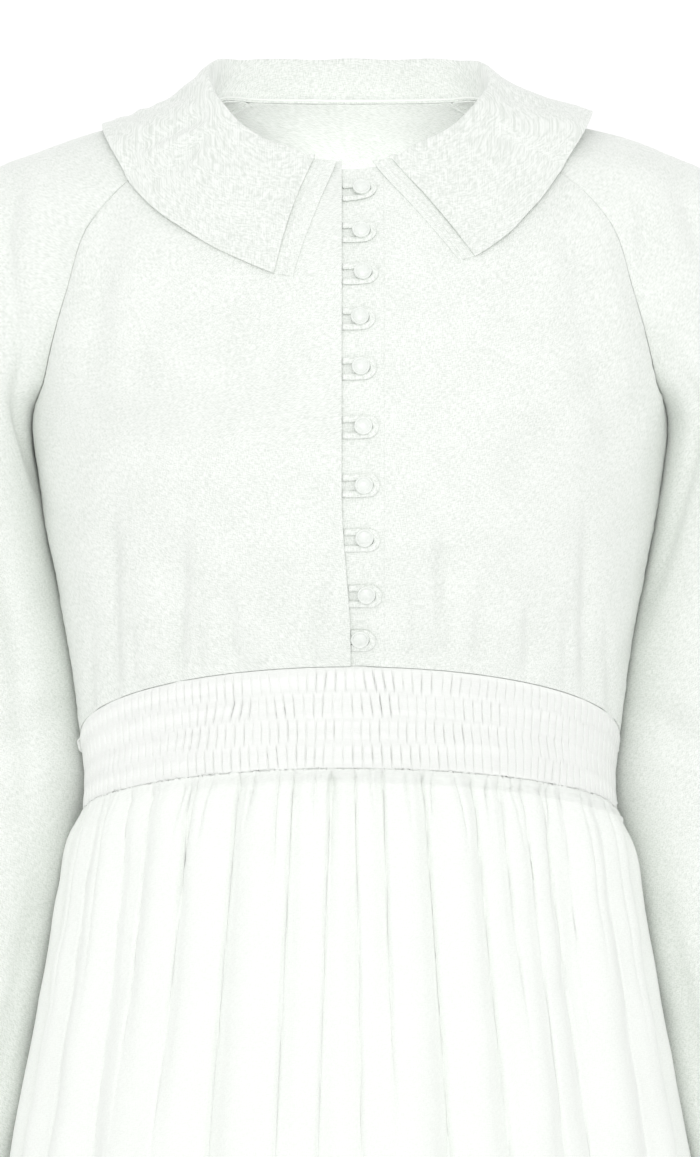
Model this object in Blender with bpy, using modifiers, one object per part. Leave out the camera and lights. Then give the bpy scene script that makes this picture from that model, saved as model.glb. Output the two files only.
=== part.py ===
"""A long loose gown, empty but filled out as if worn: a raglan bodice with a flat pointed collar,
a loop-and-button front opening, a shirred waistband and a full gathered skirt.

Metres, +Z up, the front faces -Y. The origin lies midway between the two shoulder points of the neckline,
where a wearer's shoulders carry the gown. Tables and sizes are in millimetres and are multiplied by MM.
Walls are open surfaces thickened inwards. Neighbouring panels read the same seam and part from it by half a gap.
"""

import math

import bmesh
import bpy
import numpy as np
from mathutils import Matrix

MM = 0.001

# Cloth and seams
WALL = 1.5
COLLAR_WALL = 2.0
TRIM_WALL = 1.2
SEAM_GAP = 0.5
LAYER_GAP = 0.4
RIGHT, LEFT = 1, -1

# Front opening, as distances from the centre front
LEFT_EDGE_X = -5.2
LEFT_EDGE_DRIFT = 5.6
STAND_INNER_X = -17.0
RIGHT_EDGE_X = 21.5
STAND_OUTER_X = 28.0

# Buttons and their loops
BUTTON_RADIUS = 5.75
BUTTON_THICK = 2.8
SHANK_RADIUS = 1.5
BUTTON_SIDES = 12
LOOP_OUTER_RADIUS = 7.1
LOOP_WIDTH = 3.7
LOOP_THICK = 1.3
LOOP_AHEAD = 2.8
LOOP_BEND_STEPS = 6

# Waistband and skirt
PUCKERS = {-1: 72, 1: 60}
PUCKER_RISE = 1.9
BAND_WALL = 1.5
ELASTIC_ROWS = 5
INNER_BAND_COLUMNS = 24
SKIRT_COLUMNS = 64
BODICE_HALF_COLUMNS = 12
BACK_COLUMNS = 18
SLEEVE_COLUMNS = 18
COLLAR_COLUMNS = 40

WHITE_COTTON = (0.93, 0.955, 0.925)
PEARL = (0.90, 0.925, 0.895)


def table(names, rows):
    """A short table as one array for each named column."""
    values = np.array(rows, float)
    return {name: values[:, i] for i, name in enumerate(names.split())}


# The sleeve, from the neckline (0) past the underarm (1) to its hem (2). mid is the middle of the chord between
# its two seams, top the line over the shoulder and down the outside of the arm, fore the half section towards
# the front, and turn half the angle that the cloth takes round the arm, in degrees: 180 is a closed tube.
SLEEVE = table(
    "way mid_x mid_y mid_z top_x top_y top_z fore_y fore_z turn",
    [
        (0.00, 67, 0, -9.5, 88, 2, -1, -51, -18, 60),
        (0.18, 127, 5, -33, 150, 8, -13, -54, -9, 72),
        (0.36, 165, 9, -72, 201, 12, -28, -64, -4, 84),
        (0.56, 182, 9, -122, 249, 14, -53, -66, -2, 98),
        (0.78, 196, 8, -175, 288, 16, -118, -69, -1, 136),
        (1.00, 205, 8, -225, 303, 16, -226, -70, 0, 180),
        (1.07, 199, 18, -261, 306, 20, -261, -71, 0, 180),
        (1.14, 191, 28, -298, 310, 28, -298, -72, 0, 180),
        (1.22, 181, 36, -339, 314, 36, -339, -73, 0, 180),
        (1.32, 172, 43, -391, 317, 43, -391, -74, 0, 180),
        (1.40, 166, 47, -433, 318, 47, -433, -74, 0, 180),
        (1.50, 175.5, 51, -485, 320, 51, -485, -73, 0, 180),
        (1.60, 186, 53, -537, 322, 53, -537, -71, 0, 180),
        (1.72, 197.5, 53, -599, 323, 53, -599, -67, 0, 180),
        (1.85, 210, 51, -667, 323, 51, -667, -61, 0, 180),
        (2.00, 225, 47, -745, 322, 47, -745, -54, 0, 180),
    ],
)

# The bodice at its centre front and centre back, from the neckline (0) past the underarm (1) to the waistband (2).
# turn is half the angle of the front or back section, in degrees: 90 meets the other half smoothly at the side.
BODICE = table(
    "way front_y front_z back_y back_z turn",
    [
        (0.00, -64, -40, 56, 6, 60),
        (0.18, -84, -68, 72, -26, 68),
        (0.36, -101, -100, 86, -64, 76),
        (0.56, -115, -140, 97, -114, 82),
        (0.78, -125, -182, 104, -168, 87),
        (1.00, -131, -225, 107, -222, 90),
        (1.25, -133, -260, 107, -267, 90),
        (1.50, -129, -296, 105, -311, 90),
        (1.75, -120, -331, 101, -356, 90),
        (2.00, -107, -362.5, 97, -399.5, 90),
    ],
)

# The side seam below the underarm.
SIDE = table(
    "way x y z",
    [
        (1.00, 205, 8, -225),
        (1.25, 198.5, 7, -269),
        (1.50, 189.5, 6, -315),
        (1.75, 181.5, 4, -362),
        (2.00, 175.5, 2, -407.5),
    ],
)

# The body's sections below the bodice. The band's front is arched, and the arch fades down the skirt.
SECTION_NAMES = "way half_width side_y side_z front_y front_z back_y back_z"
BAND = table(
    SECTION_NAMES,
    [
        (0.0, 175, 2, -408, -106.5, -363, 96.5, -400),
        (0.5, 171.5, 2, -434, -104.5, -395, 95, -428),
        (1.0, 172.5, 2, -459.5, -105, -426.5, 96, -456),
    ],
)
SKIRT = table(
    SECTION_NAMES,
    [
        (0.00, 173.5, 2, -460, -106, -427, 97, -456.5),
        (0.03, 183, 2, -477, -115, -444, 107, -473),
        (0.08, 190, 2, -512, -126, -482, 121, -509),
        (0.16, 201, 2, -575, -142, -550, 139, -573),
        (0.27, 220, 2, -676, -160, -658, 161, -675),
        (0.42, 246, 2, -826, -184, -817, 188, -826),
        (0.60, 279, 2, -1010, -214, -1007, 221, -1010),
        (0.80, 314, 2, -1215, -248, -1214, 256, -1215),
        (1.00, 343, 2, -1420, -276, -1420, 286, -1420),
    ],
)

# Gathers of the skirt: where each trough leaves the band and where it runs at the hem, as angles from the
# centre front in degrees, with its depths at both ends and how far down the skirt it has faded to nothing.
GATHER_NAMES = "top_angle hem_angle top_depth hem_depth ends_at"
FRONT_GATHERS = table(
    GATHER_NAMES,
    [
        (-80, -77, 3, 20, 2.0),
        (-66, -62, 3, 14, 2.0),
        (-54, -45, 5, 24, 2.0),
        (-47, -39, 5, 0, 0.30),
        (-36, -33, 4, 0, 0.35),
        (-24, -27, 5, 20, 2.0),
        (-12, -14, 5, 0, 0.45),
        (-4, -8, 4, 16, 2.0),
        (1, 4, 4, 15, 2.0),
        (7, 9, 6, 0, 0.30),
        (15.5, 21, 6, 26, 2.0),
        (26.5, 31, 5, 0, 0.50),
        (33, 36, 4, 0, 0.25),
        (39, 41, 4, 13, 2.0),
        (45, 50, 6, 26, 2.0),
        (51, 47, 5, 0, 0.28),
        (63, 61, 3, 15, 2.0),
        (79, 76, 3, 20, 2.0),
    ],
)
BACK_GATHERS = table(
    GATHER_NAMES,
    [
        (-79, -76, 3, 18, 2.0),
        (-67, -63, 4, 16, 2.0),
        (-55, -50, 5, 0, 0.40),
        (-43, -44, 5, 24, 2.0),
        (-33, -30, 4, 0, 0.35),
        (-23, -25, 5, 21, 2.0),
        (-12, -9, 5, 18, 2.0),
        (-3, 1, 4, 0, 0.45),
        (6, 8, 5, 22, 2.0),
        (17, 16, 5, 0, 0.35),
        (27, 26, 5, 19, 2.0),
        (38, 43, 5, 23, 2.0),
        (50, 52, 4, 0, 0.40),
        (60, 60, 4, 17, 2.0),
        (76, 77, 3, 20, 2.0),
    ],
)
# Half widths of the troughs in degrees, the power by which they deepen down the skirt, and how much the ones that
# fade would gain by the hem.
GATHER_WIDTH_TOP = 3.2
GATHER_WIDTH_HEM = 5.6
GATHER_GROWTH = 0.9
FADING_GAIN = 6.0

# Soft troughs of the bodice front: from one end to the other across the front, with half width and depth.
FRONT_FOLDS = table(
    "x0 z0 x1 z1 half_width depth",
    [
        (-150, -52, -176, -235, 13, 4.5),
        (136, -44, 172, -245, 13, 5.0),
        (-108, -368, -119, -270, 9, 3.0),
        (-76, -364, -80, -310, 8, 2.0),
        (-46, -362, -38, -300, 7, 2.5),
        (56, -362, 63, -275, 9, 3.0),
        (84, -366, 88, -300, 8, 2.0),
        (118, -372, 122, -300, 9, 2.5),
        (158, -390, 152, -265, 9, 3.0),
        (-156, -392, -155, -260, 9, 3.0),
    ],
)

BACK_FOLDS = table(
    "x0 z0 x1 z1 half_width depth",
    [
        (-150, -30, -174, -210, 14, 4.0),
        (146, -34, 172, -215, 14, 4.5),
        (-96, -404, -104, -310, 9, 3.0),
        (-30, -402, -24, -325, 9, 2.5),
        (44, -402, 50, -300, 9, 3.0),
        (108, -404, 112, -320, 9, 2.5),
    ],
)

# Long troughs of a sleeve: turn is the angle from the line down the outside of the arm, forwards positive.
SLEEVE_FOLDS = table(
    "way0 turn0 way1 turn1 half_turn depth",
    [
        (0.42, 34, 1.02, 128, 13, 8.0),
        (0.95, 62, 1.80, 100, 16, 7.0),
        (1.05, 8, 1.90, 36, 15, 6.0),
        (0.55, -40, 1.30, -120, 15, 7.0),
        (1.10, -56, 2.00, -70, 17, 7.0),
        (1.30, 150, 1.45, 40, 14, 5.0),
    ],
)

# The collar, from its front edge round to the centre back. Positions on the yoke are a ring: 0 is the centre
# front, 1 the front raglan seam, 2 the shoulder line, 3 the back raglan seam and 4 the centre back. edge_way is
# how far down the yoke the outer edge lies, and roll_up and roll_out are where the cloth turns over.
COLLAR_NAMES = "round neck_ring edge_ring edge_way roll_up roll_out lift"
COLLAR = {
    LEFT: table(
        COLLAR_NAMES,
        [
            (0.00, 0.28, 0.20, 0.440, 3.5, 1.0, 2.2),
            (0.10, 0.42, 0.37, 0.378, 4.0, 1.0, 2.4),
            (0.20, 0.66, 0.62, 0.303, 5.5, 1.0, 2.6),
            (0.30, 1.00, 1.00, 0.242, 9.0, 2.0, 3.0),
            (0.39, 1.50, 1.50, 0.222, 16.0, 3.5, 4.0),
            (0.48, 2.00, 2.00, 0.212, 23.0, 5.0, 5.0),
            (0.57, 2.50, 2.50, 0.200, 26.0, 6.0, 4.2),
            (0.67, 3.00, 3.00, 0.190, 28.0, 7.0, 3.4),
            (0.83, 3.50, 3.50, 0.188, 29.0, 7.5, 3.2),
            (1.00, 4.00, 4.00, 0.190, 29.5, 8.0, 3.2),
        ],
    ),
    RIGHT: table(
        COLLAR_NAMES,
        [
            (0.00, 0.31, 0.35, 0.395, 3.5, 1.0, 2.2),
            (0.10, 0.44, 0.48, 0.340, 4.5, 1.0, 2.4),
            (0.20, 0.66, 0.68, 0.268, 7.0, 1.0, 2.8),
            (0.30, 1.00, 1.00, 0.212, 11.0, 2.0, 4.5),
            (0.39, 1.50, 1.50, 0.200, 16.0, 2.0, 9.0),
            (0.48, 2.00, 2.00, 0.196, 20.0, 2.0, 12.0),
            (0.57, 2.50, 2.50, 0.194, 24.0, 4.0, 9.0),
            (0.67, 3.00, 3.00, 0.190, 27.0, 6.5, 5.0),
            (0.83, 3.50, 3.50, 0.188, 29.0, 7.5, 3.4),
            (1.00, 4.00, 4.00, 0.190, 29.5, 8.0, 3.2),
        ],
    ),
}
# How far the fall bulges, how deep the roll is from front to back, and the power by which it flattens out.
COLLAR_BELLY = 2.5
ROLL_DEPTH = 4.5
ROLL_FALL = 3.2
# The folded strip that shows past each front edge of the collar: where its own free edge runs, as the ring at the
# neck and at the lower end and the way down to that end. Its lift off the yoke grows by a rise towards the neck.
COLLAR_STRIP = {
    LEFT: {"neck_ring": 0.10, "end_ring": 0.148, "end_way": 0.445},
    RIGHT: {"neck_ring": 0.165, "end_ring": 0.300, "end_way": 0.405},
}
STRIP_BESIDE = 0.012
STRIP_LIFT = 0.9
STRIP_NECK_RISE = 1.6

# The buttons' middles, and how far below each its loop hangs.
BUTTONS = table(
    "x z loop_drop",
    [
        (7.3, -56.5, 1.6),
        (7.0, -85.0, 1.6),
        (8.1, -112.0, 1.6),
        (6.2, -141.0, 1.6),
        (6.8, -173.0, 1.4),
        (8.3, -211.0, 0.6),
        (8.7, -248.5, 0.0),
        (9.0, -282.0, 1.0),
        (10.2, -318.0, 0.3),
        (6.2, -346.5, 0.0),
    ],
)


def smooth(at, keys, values):
    """A cubic through a table's rows, with each row's slope taken from its neighbours."""
    at = np.clip(at, keys[0], keys[-1])
    low = np.clip(np.searchsorted(keys, at, side="right") - 1, 0, len(keys) - 2)
    slope = np.gradient(values, keys, axis=0)
    span = keys[low + 1] - keys[low]
    t = (at - keys[low]) / span
    return (
        values[low] * (1 + 2 * t) * (1 - t) ** 2
        + values[low + 1] * t * t * (3 - 2 * t)
        + slope[low] * span * t * (1 - t) ** 2
        + slope[low + 1] * span * t * t * (t - 1)
    )


def columns(rows, at, *names):
    """The named columns of a table at these places, side by side."""
    return np.stack([smooth(at, rows["way"], rows[name]) for name in names], axis=-1)


def step(low, high, at):
    """0 below low, 1 above high and smooth between."""
    t = np.clip((at - low) / (high - low), 0, 1)
    return t * t * (3 - 2 * t)


def unit(vectors):
    return vectors / np.maximum(np.linalg.norm(vectors, axis=-1, keepdims=True), 1e-9)


def plain_sleeve(share, way):
    """A sleeve of the right side before its folds. share is 1 at the front seam, 0 outside the arm and -1 behind."""
    share, way = np.broadcast_arrays(share, way)
    mid = columns(SLEEVE, way, "mid_x", "mid_y", "mid_z")
    top = columns(SLEEVE, way, "top_x", "top_y", "top_z")
    fore = columns(SLEEVE, way, "fore_y", "fore_z")
    fore = np.concatenate([np.zeros_like(fore[..., :1]), fore], axis=-1)
    turn = np.radians(np.minimum(smooth(way, SLEEVE["way"], SLEEVE["turn"]), 180.0))
    angle = share * turn
    out = (np.cos(angle) - np.cos(turn)) / (1 - np.cos(turn))
    return mid + (top - mid) * out[..., None] + fore * np.sin(angle)[..., None]


def half_bodice(share, way, side):
    """The front (side -1) or back (side 1) before its folds. share runs from -1 at the left edge to 1 at the right."""
    share, way = np.broadcast_arrays(share, way)
    names = ("front_y", "front_z") if side < 0 else ("back_y", "back_z")
    centre = columns(BODICE, way, *names)
    raglan = plain_sleeve(np.full(way.shape, -float(side)), np.minimum(way, 1.0))
    seam = columns(SIDE, way, "x", "y", "z")
    edge = np.where((way <= 1)[..., None], raglan, seam)
    turn = np.radians(smooth(way, BODICE["way"], BODICE["turn"]))
    across = np.sin(share * turn) / np.sin(turn)
    down = ((1 - np.cos(share * turn)) / (1 - np.cos(turn)))[..., None]
    rest = centre + (edge[..., 1:] - centre) * down
    return np.concatenate([(edge[..., 0] * across)[..., None], rest], axis=-1)


def parting(way, side):
    """At the seam of the right sleeve: the way from the bodice to the sleeve, and along Y from front to back."""
    near = 0.98
    seam = half_bodice(np.ones_like(way), way, side)
    into_bodice = unit(half_bodice(np.full_like(way, near), way, side) - seam)
    into_sleeve = unit(
        plain_sleeve(np.full_like(way, -near * side), way)
        - plain_sleeve(np.full_like(way, -float(side)), way)
    )
    armpit = step(0.72, 0.95, way)[..., None]
    outwards = np.array([1.0, 0.0, 0.0])
    return unit(unit(into_sleeve - into_bodice) * (1 - armpit) + outwards * armpit)


def seam_move(way, side, for_sleeve):
    """How far an edge moves from the seam line: half the gap, away from each neighbour that it has there."""
    across = parting(np.minimum(way, 1.0), side) * (1 if for_sleeve else -1)
    beside_other = step(0.86, 1.0, way)[..., None]
    beside_first = 1.0 if for_sleeve else (1 - step(1.0, 1.2, way))[..., None]
    along_y = np.array([0.0, float(side), 0.0])
    return (across * beside_first + along_y * beside_other) * SEAM_GAP / 2


def fold_depth(x, z, folds):
    """The depth of straight troughs at points of a front: each is a bell across its line, faded at both ends."""
    depth = np.zeros_like(x)
    for x0, z0, x1, z1, half_width, deep in zip(*folds.values()):
        along = (z - z0) / (z1 - z0)
        line = x0 + (x1 - x0) * along
        ends = step(-0.12, 0.18, along) * (1 - step(0.62, 1.1, along))
        depth += deep * ends * np.exp(-(((x - line) / half_width) ** 2))
    return depth


def bodice(share, way, side):
    """The bodice's outer surface, with its folds and with its edges parted from the sleeve and the other half."""
    share, way = np.broadcast_arrays(np.asarray(share, float), np.asarray(way, float))
    points = half_bodice(share, way, side)
    deep = fold_depth(points[..., 0], points[..., 2], FRONT_FOLDS if side < 0 else BACK_FOLDS)
    deep = deep * (1 - step(0.90, 1.0, np.abs(share))) * (1 - step(1.93, 2.0, way))
    points = points - unit(points * [1, 1, 0]) * deep[..., None]
    move = seam_move(way, side, False)
    move = np.where((share < 0)[..., None], move * [-1, 1, 1], move)
    return points + move * (np.abs(share) ** 6)[..., None]


def sleeve(share, way, hand):
    """A sleeve's outer surface, with its long troughs. hand is 1 for the right and -1 for the left."""
    share, way = np.broadcast_arrays(np.asarray(share, float), np.asarray(way, float))
    points = plain_sleeve(share, way)
    turn = np.degrees(share * np.radians(smooth(way, SLEEVE["way"], SLEEVE["turn"])))
    deep = np.zeros_like(turn)
    for way0, turn0, way1, turn1, half_turn, depth in zip(*SLEEVE_FOLDS.values()):
        along = (way - way0) / (way1 - way0)
        line = turn0 + (turn1 - turn0) * along
        ends = step(-0.05, 0.25, along) * (1 - step(0.7, 1.05, along))
        deep += depth * ends * np.exp(-(((turn - line) / half_turn) ** 2))
    deep *= 1 - step(0.80, 0.97, np.abs(share))
    axis = plain_sleeve(np.zeros_like(way), way) + plain_sleeve(np.ones_like(way), way)
    points = points - unit(points - axis / 2) * deep[..., None]
    front, back = seam_move(way, -1, True), seam_move(way, 1, True)
    move = np.where((share > 0)[..., None], front, back)
    points = points + move * (np.abs(share) ** 6)[..., None]
    return points * [hand, 1, 1]


def body(angle, way, rows):
    """A section of the band or skirt: angle is 0 at the centre front, 90 at the side and 180 at the back."""
    angle, way = np.broadcast_arrays(np.radians(angle), way)
    half_width, side_y, side_z, front_y, front_z, back_y, back_z = np.moveaxis(
        columns(rows, way, *SECTION_NAMES.split()[1:]), -1, 0
    )
    in_front = np.cos(angle) > 0
    reach = np.abs(np.cos(angle))
    y = side_y + (np.where(in_front, front_y, back_y) - side_y) * reach
    z = side_z + (np.where(in_front, front_z, back_z) - side_z) * reach
    return np.stack([half_width * np.sin(angle), y, z], axis=-1)


def outward(points):
    """Level unit vectors away from the body's axis."""
    return unit(points * [1, 1.6, 0])


def skirt(angle, way, gathers, side):
    """The skirt's outer surface: an envelope with bell-shaped troughs that follow the gathers down to the hem."""
    angle, way = np.broadcast_arrays(np.asarray(angle, float), np.asarray(way, float))
    points = body(angle if side < 0 else 180 - angle, way, SKIRT)
    width = GATHER_WIDTH_TOP + (GATHER_WIDTH_HEM - GATHER_WIDTH_TOP) * np.sqrt(way)
    deep = np.zeros_like(way)
    for top, hem, top_depth, hem_depth, ends_at in zip(*gathers.values()):
        line = top + (hem - top) * way**0.8
        depth = top_depth * (1 - way) ** 2 + hem_depth * way**GATHER_GROWTH
        if hem_depth == 0:
            fades = 1 - step(0.4 * ends_at, ends_at, way)
            depth = (top_depth + FADING_GAIN * way**GATHER_GROWTH) * fades
        deep += depth * np.exp(-(((angle - line) / width) ** 2))
    deep = deep * step(-0.01, 0.02, way) * (1 - step(86.5, 90, np.abs(angle)))
    return points - outward(points) * deep[..., None]


def yoke(ring, way):
    """The outer surface round the neck. ring is 0 at the centre front and 4 at the back, negative on the left."""
    ring, way = np.broadcast_arrays(np.asarray(ring, float), np.asarray(way, float))
    part = np.abs(ring)
    front = half_bodice(np.clip(part, 0, 1), way, -1)
    over = plain_sleeve(np.clip(2 - part, -1, 1), way)
    back = half_bodice(np.clip(4 - part, 0, 1), way, 1)
    points = np.where((part < 1)[..., None], front, np.where((part < 3)[..., None], over, back))
    return points * np.stack([np.where(ring < 0, -1.0, 1.0)] + [np.ones_like(part)] * 2, axis=-1)


def yoke_outward(ring, way):
    """The yoke's outward direction, averaged over a short way on either side so that seams don't crease it."""
    reach_ring, reach_way = 0.22, 0.05
    around = yoke(ring + reach_ring, way) - yoke(ring - reach_ring, way)
    around = np.where((np.abs(ring) > 3.75)[..., None], [-1.0, 0, 0], around)
    down = yoke(ring, way + reach_way) - yoke(ring, np.maximum(way - reach_way, 0))
    return unit(np.cross(down, around))


def collar(place, across):
    """The collar's seen face. place is -1 at the left front edge, 0 at the centre back and 1 at the right front
    edge; across is 0 at the neck seam and 1 at the outer edge, and the cloth turns over at about a third."""
    place, across = np.broadcast_arrays(np.asarray(place, float), np.asarray(across, float))
    hand = np.where(place < 0, LEFT, RIGHT)
    found = {}
    for name in COLLAR_NAMES.split()[1:]:
        left = smooth(1 - np.abs(place), COLLAR[LEFT]["round"], COLLAR[LEFT][name])
        right = smooth(1 - np.abs(place), COLLAR[RIGHT]["round"], COLLAR[RIGHT][name])
        found[name] = np.where(place < 0, left, right)
        # Both halves share one line round the back of the neck.
        found[name] += ((left + right) / 2 - found[name]) * (1 - step(0.0, 0.3, np.abs(place)))
    neck_ring, edge_ring = found["neck_ring"] * hand, found["edge_ring"] * hand
    neck = yoke(neck_ring, np.zeros_like(place))
    away = unit((neck - [0, -4, 0]) * [1, 1, 0])
    up = np.array([0.0, 0.0, 1.0])
    roll_up, roll_out = found["roll_up"][..., None], found["roll_out"][..., None]

    def fall(share):
        ring = neck_ring + (edge_ring - neck_ring) * share
        way = found["edge_way"] * share
        near_roll = (1 - share) ** ROLL_FALL
        belly = COLLAR_BELLY * math.sin(math.pi * share) * step(0.2, 0.7, np.abs(place))
        lift = found["lift"] * (1 - near_roll) + belly
        turned = (up * roll_up + away * (roll_out + ROLL_DEPTH)) * near_roll
        return yoke(ring, way) + yoke_outward(ring, way) * lift[..., None] + turned

    start = neck + up * (0.4 + SEAM_GAP)
    stand = neck + up * roll_up * 0.78 + away * roll_out * 0.35
    top = neck + up * (roll_up + 0.8) + away * (roll_out * 0.6 + 2.2)
    keys = np.array([0.0, 0.2, 0.32, 0.46, 0.64, 0.82, 1.0])
    shape = np.stack([start, stand, top, fall(0.13), fall(0.36), fall(0.68), fall(1.0)])
    low = np.clip(np.searchsorted(keys, across, side="right") - 1, 0, len(keys) - 2)
    slope = np.gradient(shape, keys, axis=0)
    span = (keys[low + 1] - keys[low])[..., None]
    t = (across[..., None] - keys[low][..., None]) / span

    def take(of, i):
        return np.take_along_axis(of, i[None, ..., None], axis=0)[0]

    return (
        take(shape, low) * (1 + 2 * t) * (1 - t) ** 2
        + take(shape, low + 1) * t * t * (3 - 2 * t)
        + take(slope, low) * span * t * (1 - t) ** 2
        + take(slope, low + 1) * span * t * t * (t - 1)
    )


def collar_strip(across, share, hand):
    """The strip past a front edge of the collar: across is 0 beside the collar and 1 at the strip's free edge."""
    free = COLLAR_STRIP[hand]
    rows = COLLAR[hand]
    neck_start = rows["neck_ring"][0] - STRIP_BESIDE
    end_start = rows["edge_ring"][0] - STRIP_BESIDE
    neck = neck_start + (free["neck_ring"] - neck_start) * across
    end = end_start + (free["end_ring"] - end_start) * across
    way = (rows["edge_way"][0] + (free["end_way"] - rows["edge_way"][0]) * across) * share
    ring = (neck + (end - neck) * share) * hand
    rise = STRIP_LIFT + STRIP_NECK_RISE * (1 - share) ** 3
    return yoke(ring, way) + yoke_outward(ring, way) * rise[..., None]


def front_share(x, way):
    """The share across the front at which a plain section has this x."""
    edge = half_bodice(np.ones_like(way), way, -1)[..., 0]
    turn = np.radians(smooth(way, BODICE["way"], BODICE["turn"]))
    return np.arcsin(np.clip(x / edge * np.sin(turn), -1, 1)) / turn


def left_edge_x(way):
    """The free edge of the left front, which drifts towards the centre near the waist."""
    return LEFT_EDGE_X + LEFT_EDGE_DRIFT * step(1.2, 1.9, way)


def front_normal(x, way):
    """The outward direction near the centre front."""
    a, b = 4.0, 0.02
    around = bodice(front_share(x + a, way), way, -1) - bodice(front_share(x - a, way), way, -1)
    down = bodice(front_share(x, way), way + b, -1) - bodice(front_share(x, way), way - b, -1)
    return unit(np.cross(down, around))


def stand_point(x, way):
    """The button stand, which passes just under both fronts' edges."""
    return bodice(front_share(x, way), way, -1) - front_normal(x, way) * (WALL + LAYER_GAP)


def way_at(z):
    """How far down the centre front a height lies."""
    ways = np.linspace(0, 2, 401)
    return np.interp(-z, -smooth(ways, BODICE["way"], BODICE["front_z"]), ways)


def material(name, colour, roughness):
    made = bpy.data.materials.new(name)
    made.use_nodes = True
    shader = made.node_tree.nodes["Principled BSDF"]
    shader.inputs["Base Color"].default_value = (*colour, 1)
    shader.inputs["Roughness"].default_value = roughness
    shader.inputs["Metallic"].default_value = 0.0
    made.diffuse_color = (*colour, 1)
    return made


def place(name, mesh, finish, smooth_angle=60):
    """Names a mesh, gives it its material and puts it in the gown's collection."""
    made = bpy.data.objects.new(name, mesh)
    mesh.materials.append(finish)
    mesh.shade_smooth()
    mesh.set_sharp_from_angle(angle=math.radians(smooth_angle))
    GOWN.objects.link(made)
    return made


def grid_faces(across, down, start=0, flip=False):
    """Quads of a grid whose points run across first. They face outwards where across runs to the right, seen from
    outside, and down runs down."""
    corner = (np.arange(down)[:, None] * (across + 1) + np.arange(across)).ravel() + start
    quads = np.stack([corner, corner + across + 1, corner + across + 2, corner + 1], axis=1)
    return quads[:, ::-1] if flip else quads


def cloth(name, points, finish, wall=WALL, outwards=False):
    """One panel: a grid of points in rows from the top down, running to the right seen from outside, thickened
    by Solidify inwards, or outwards where the points are its under side."""
    down, across = points.shape[0] - 1, points.shape[1] - 1
    mesh = bpy.data.meshes.new(name)
    mesh.from_pydata(points.reshape(-1, 3) * MM, [], grid_faces(across, down).tolist())
    panel = place(name, mesh, finish)
    thick = panel.modifiers.new("Cloth thickness", "SOLIDIFY")
    thick.thickness = wall * MM
    thick.offset = 1.0 if outwards else -1.0
    return panel


def shirred_band(name, side, finish):
    """Half of the waistband: ridges between rows of elastic raised in the outer points over a plain inside."""
    ridges = np.linspace(-90, 90, 2 * PUCKERS[side] + 1)
    rows = np.linspace(0, 1, 2 * ELASTIC_ROWS - 1)
    plain = np.linspace(-90, 90, INNER_BAND_COLUMNS + 1)

    def level(angles, ways):
        points = body((angles if side < 0 else 180 - angles)[None, :], ways[:, None], BAND)
        apart = (np.sign(angles) * (np.abs(angles) > 89.9) * SEAM_GAP / 2)[None, :, None]
        points = points + np.array([0, float(side), 0]) * np.abs(apart)
        return points, outward(points)

    outer, away = level(ridges, rows)
    ridge = np.arange(len(ridges)) % 2
    puffed = (np.arange(len(rows)) % 2)[:, None]
    rise = ridge[None, :] * PUCKER_RISE * (0.35 + 0.65 * puffed) + 0.5 * puffed
    rise[:, [0, -1]] = 0
    outer = outer + away * rise[..., None]
    inner, away = level(plain, rows[[0, -1]])
    inner = inner - away * BAND_WALL

    wide, high, count = len(ridges), len(rows), len(ridges) * len(rows)
    points = np.concatenate([outer.reshape(-1, 3), inner.reshape(-1, 3)])
    faces = grid_faces(wide - 1, high - 1).tolist()
    faces += grid_faces(INNER_BAND_COLUMNS, 1, count, flip=True).tolist()
    each = (wide - 1) // INNER_BAND_COLUMNS
    for row, inner_row, turned in ((0, 0, False), (high - 1, 1, True)):
        for i in range(INNER_BAND_COLUMNS):
            a = count + inner_row * (INNER_BAND_COLUMNS + 1) + i
            edge = [row * wide + i * each + k for k in range(each + 1)]
            face = [a, *edge, a + 1]
            faces.append(face[::-1] if turned else face)
    for column, inner_column, turned in ((0, 0, True), (wide - 1, INNER_BAND_COLUMNS, False)):
        edge = [row * wide + column for row in range(high)]
        ends = [count + inner_column, count + INNER_BAND_COLUMNS + 1 + inner_column]
        face = [ends[0], *edge, ends[1]]
        faces.append(face[::-1] if turned else face)
    if side > 0:
        points[:, 0] *= -1
        faces = [face[::-1] for face in faces]
    mesh = bpy.data.meshes.new(name)
    mesh.from_pydata(points * MM, [], faces)
    shape = bmesh.new()
    shape.from_mesh(mesh)
    bmesh.ops.triangulate(shape, faces=shape.faces[:])
    bmesh.ops.recalc_face_normals(shape, faces=shape.faces[:])
    shape.to_mesh(mesh)
    shape.free()
    return place(name, mesh, finish, 25)


def stand_frame(x, z):
    """Points on the button stand, and the directions right, up and out at them."""
    x, z = np.broadcast_arrays(np.asarray(x, float), np.asarray(z, float))
    way = way_at(z)
    out = front_normal(x, way)
    right = unit(np.array([1.0, 0, 0]) - out * out[..., :1])
    return stand_point(x, way), right, np.cross(out, right), out


def seen_level(x, z, height):
    """The level on the stand from which a point this high over it shows at z."""
    out = stand_frame(x, z)[3]
    return z - float(out[2]) * height


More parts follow.
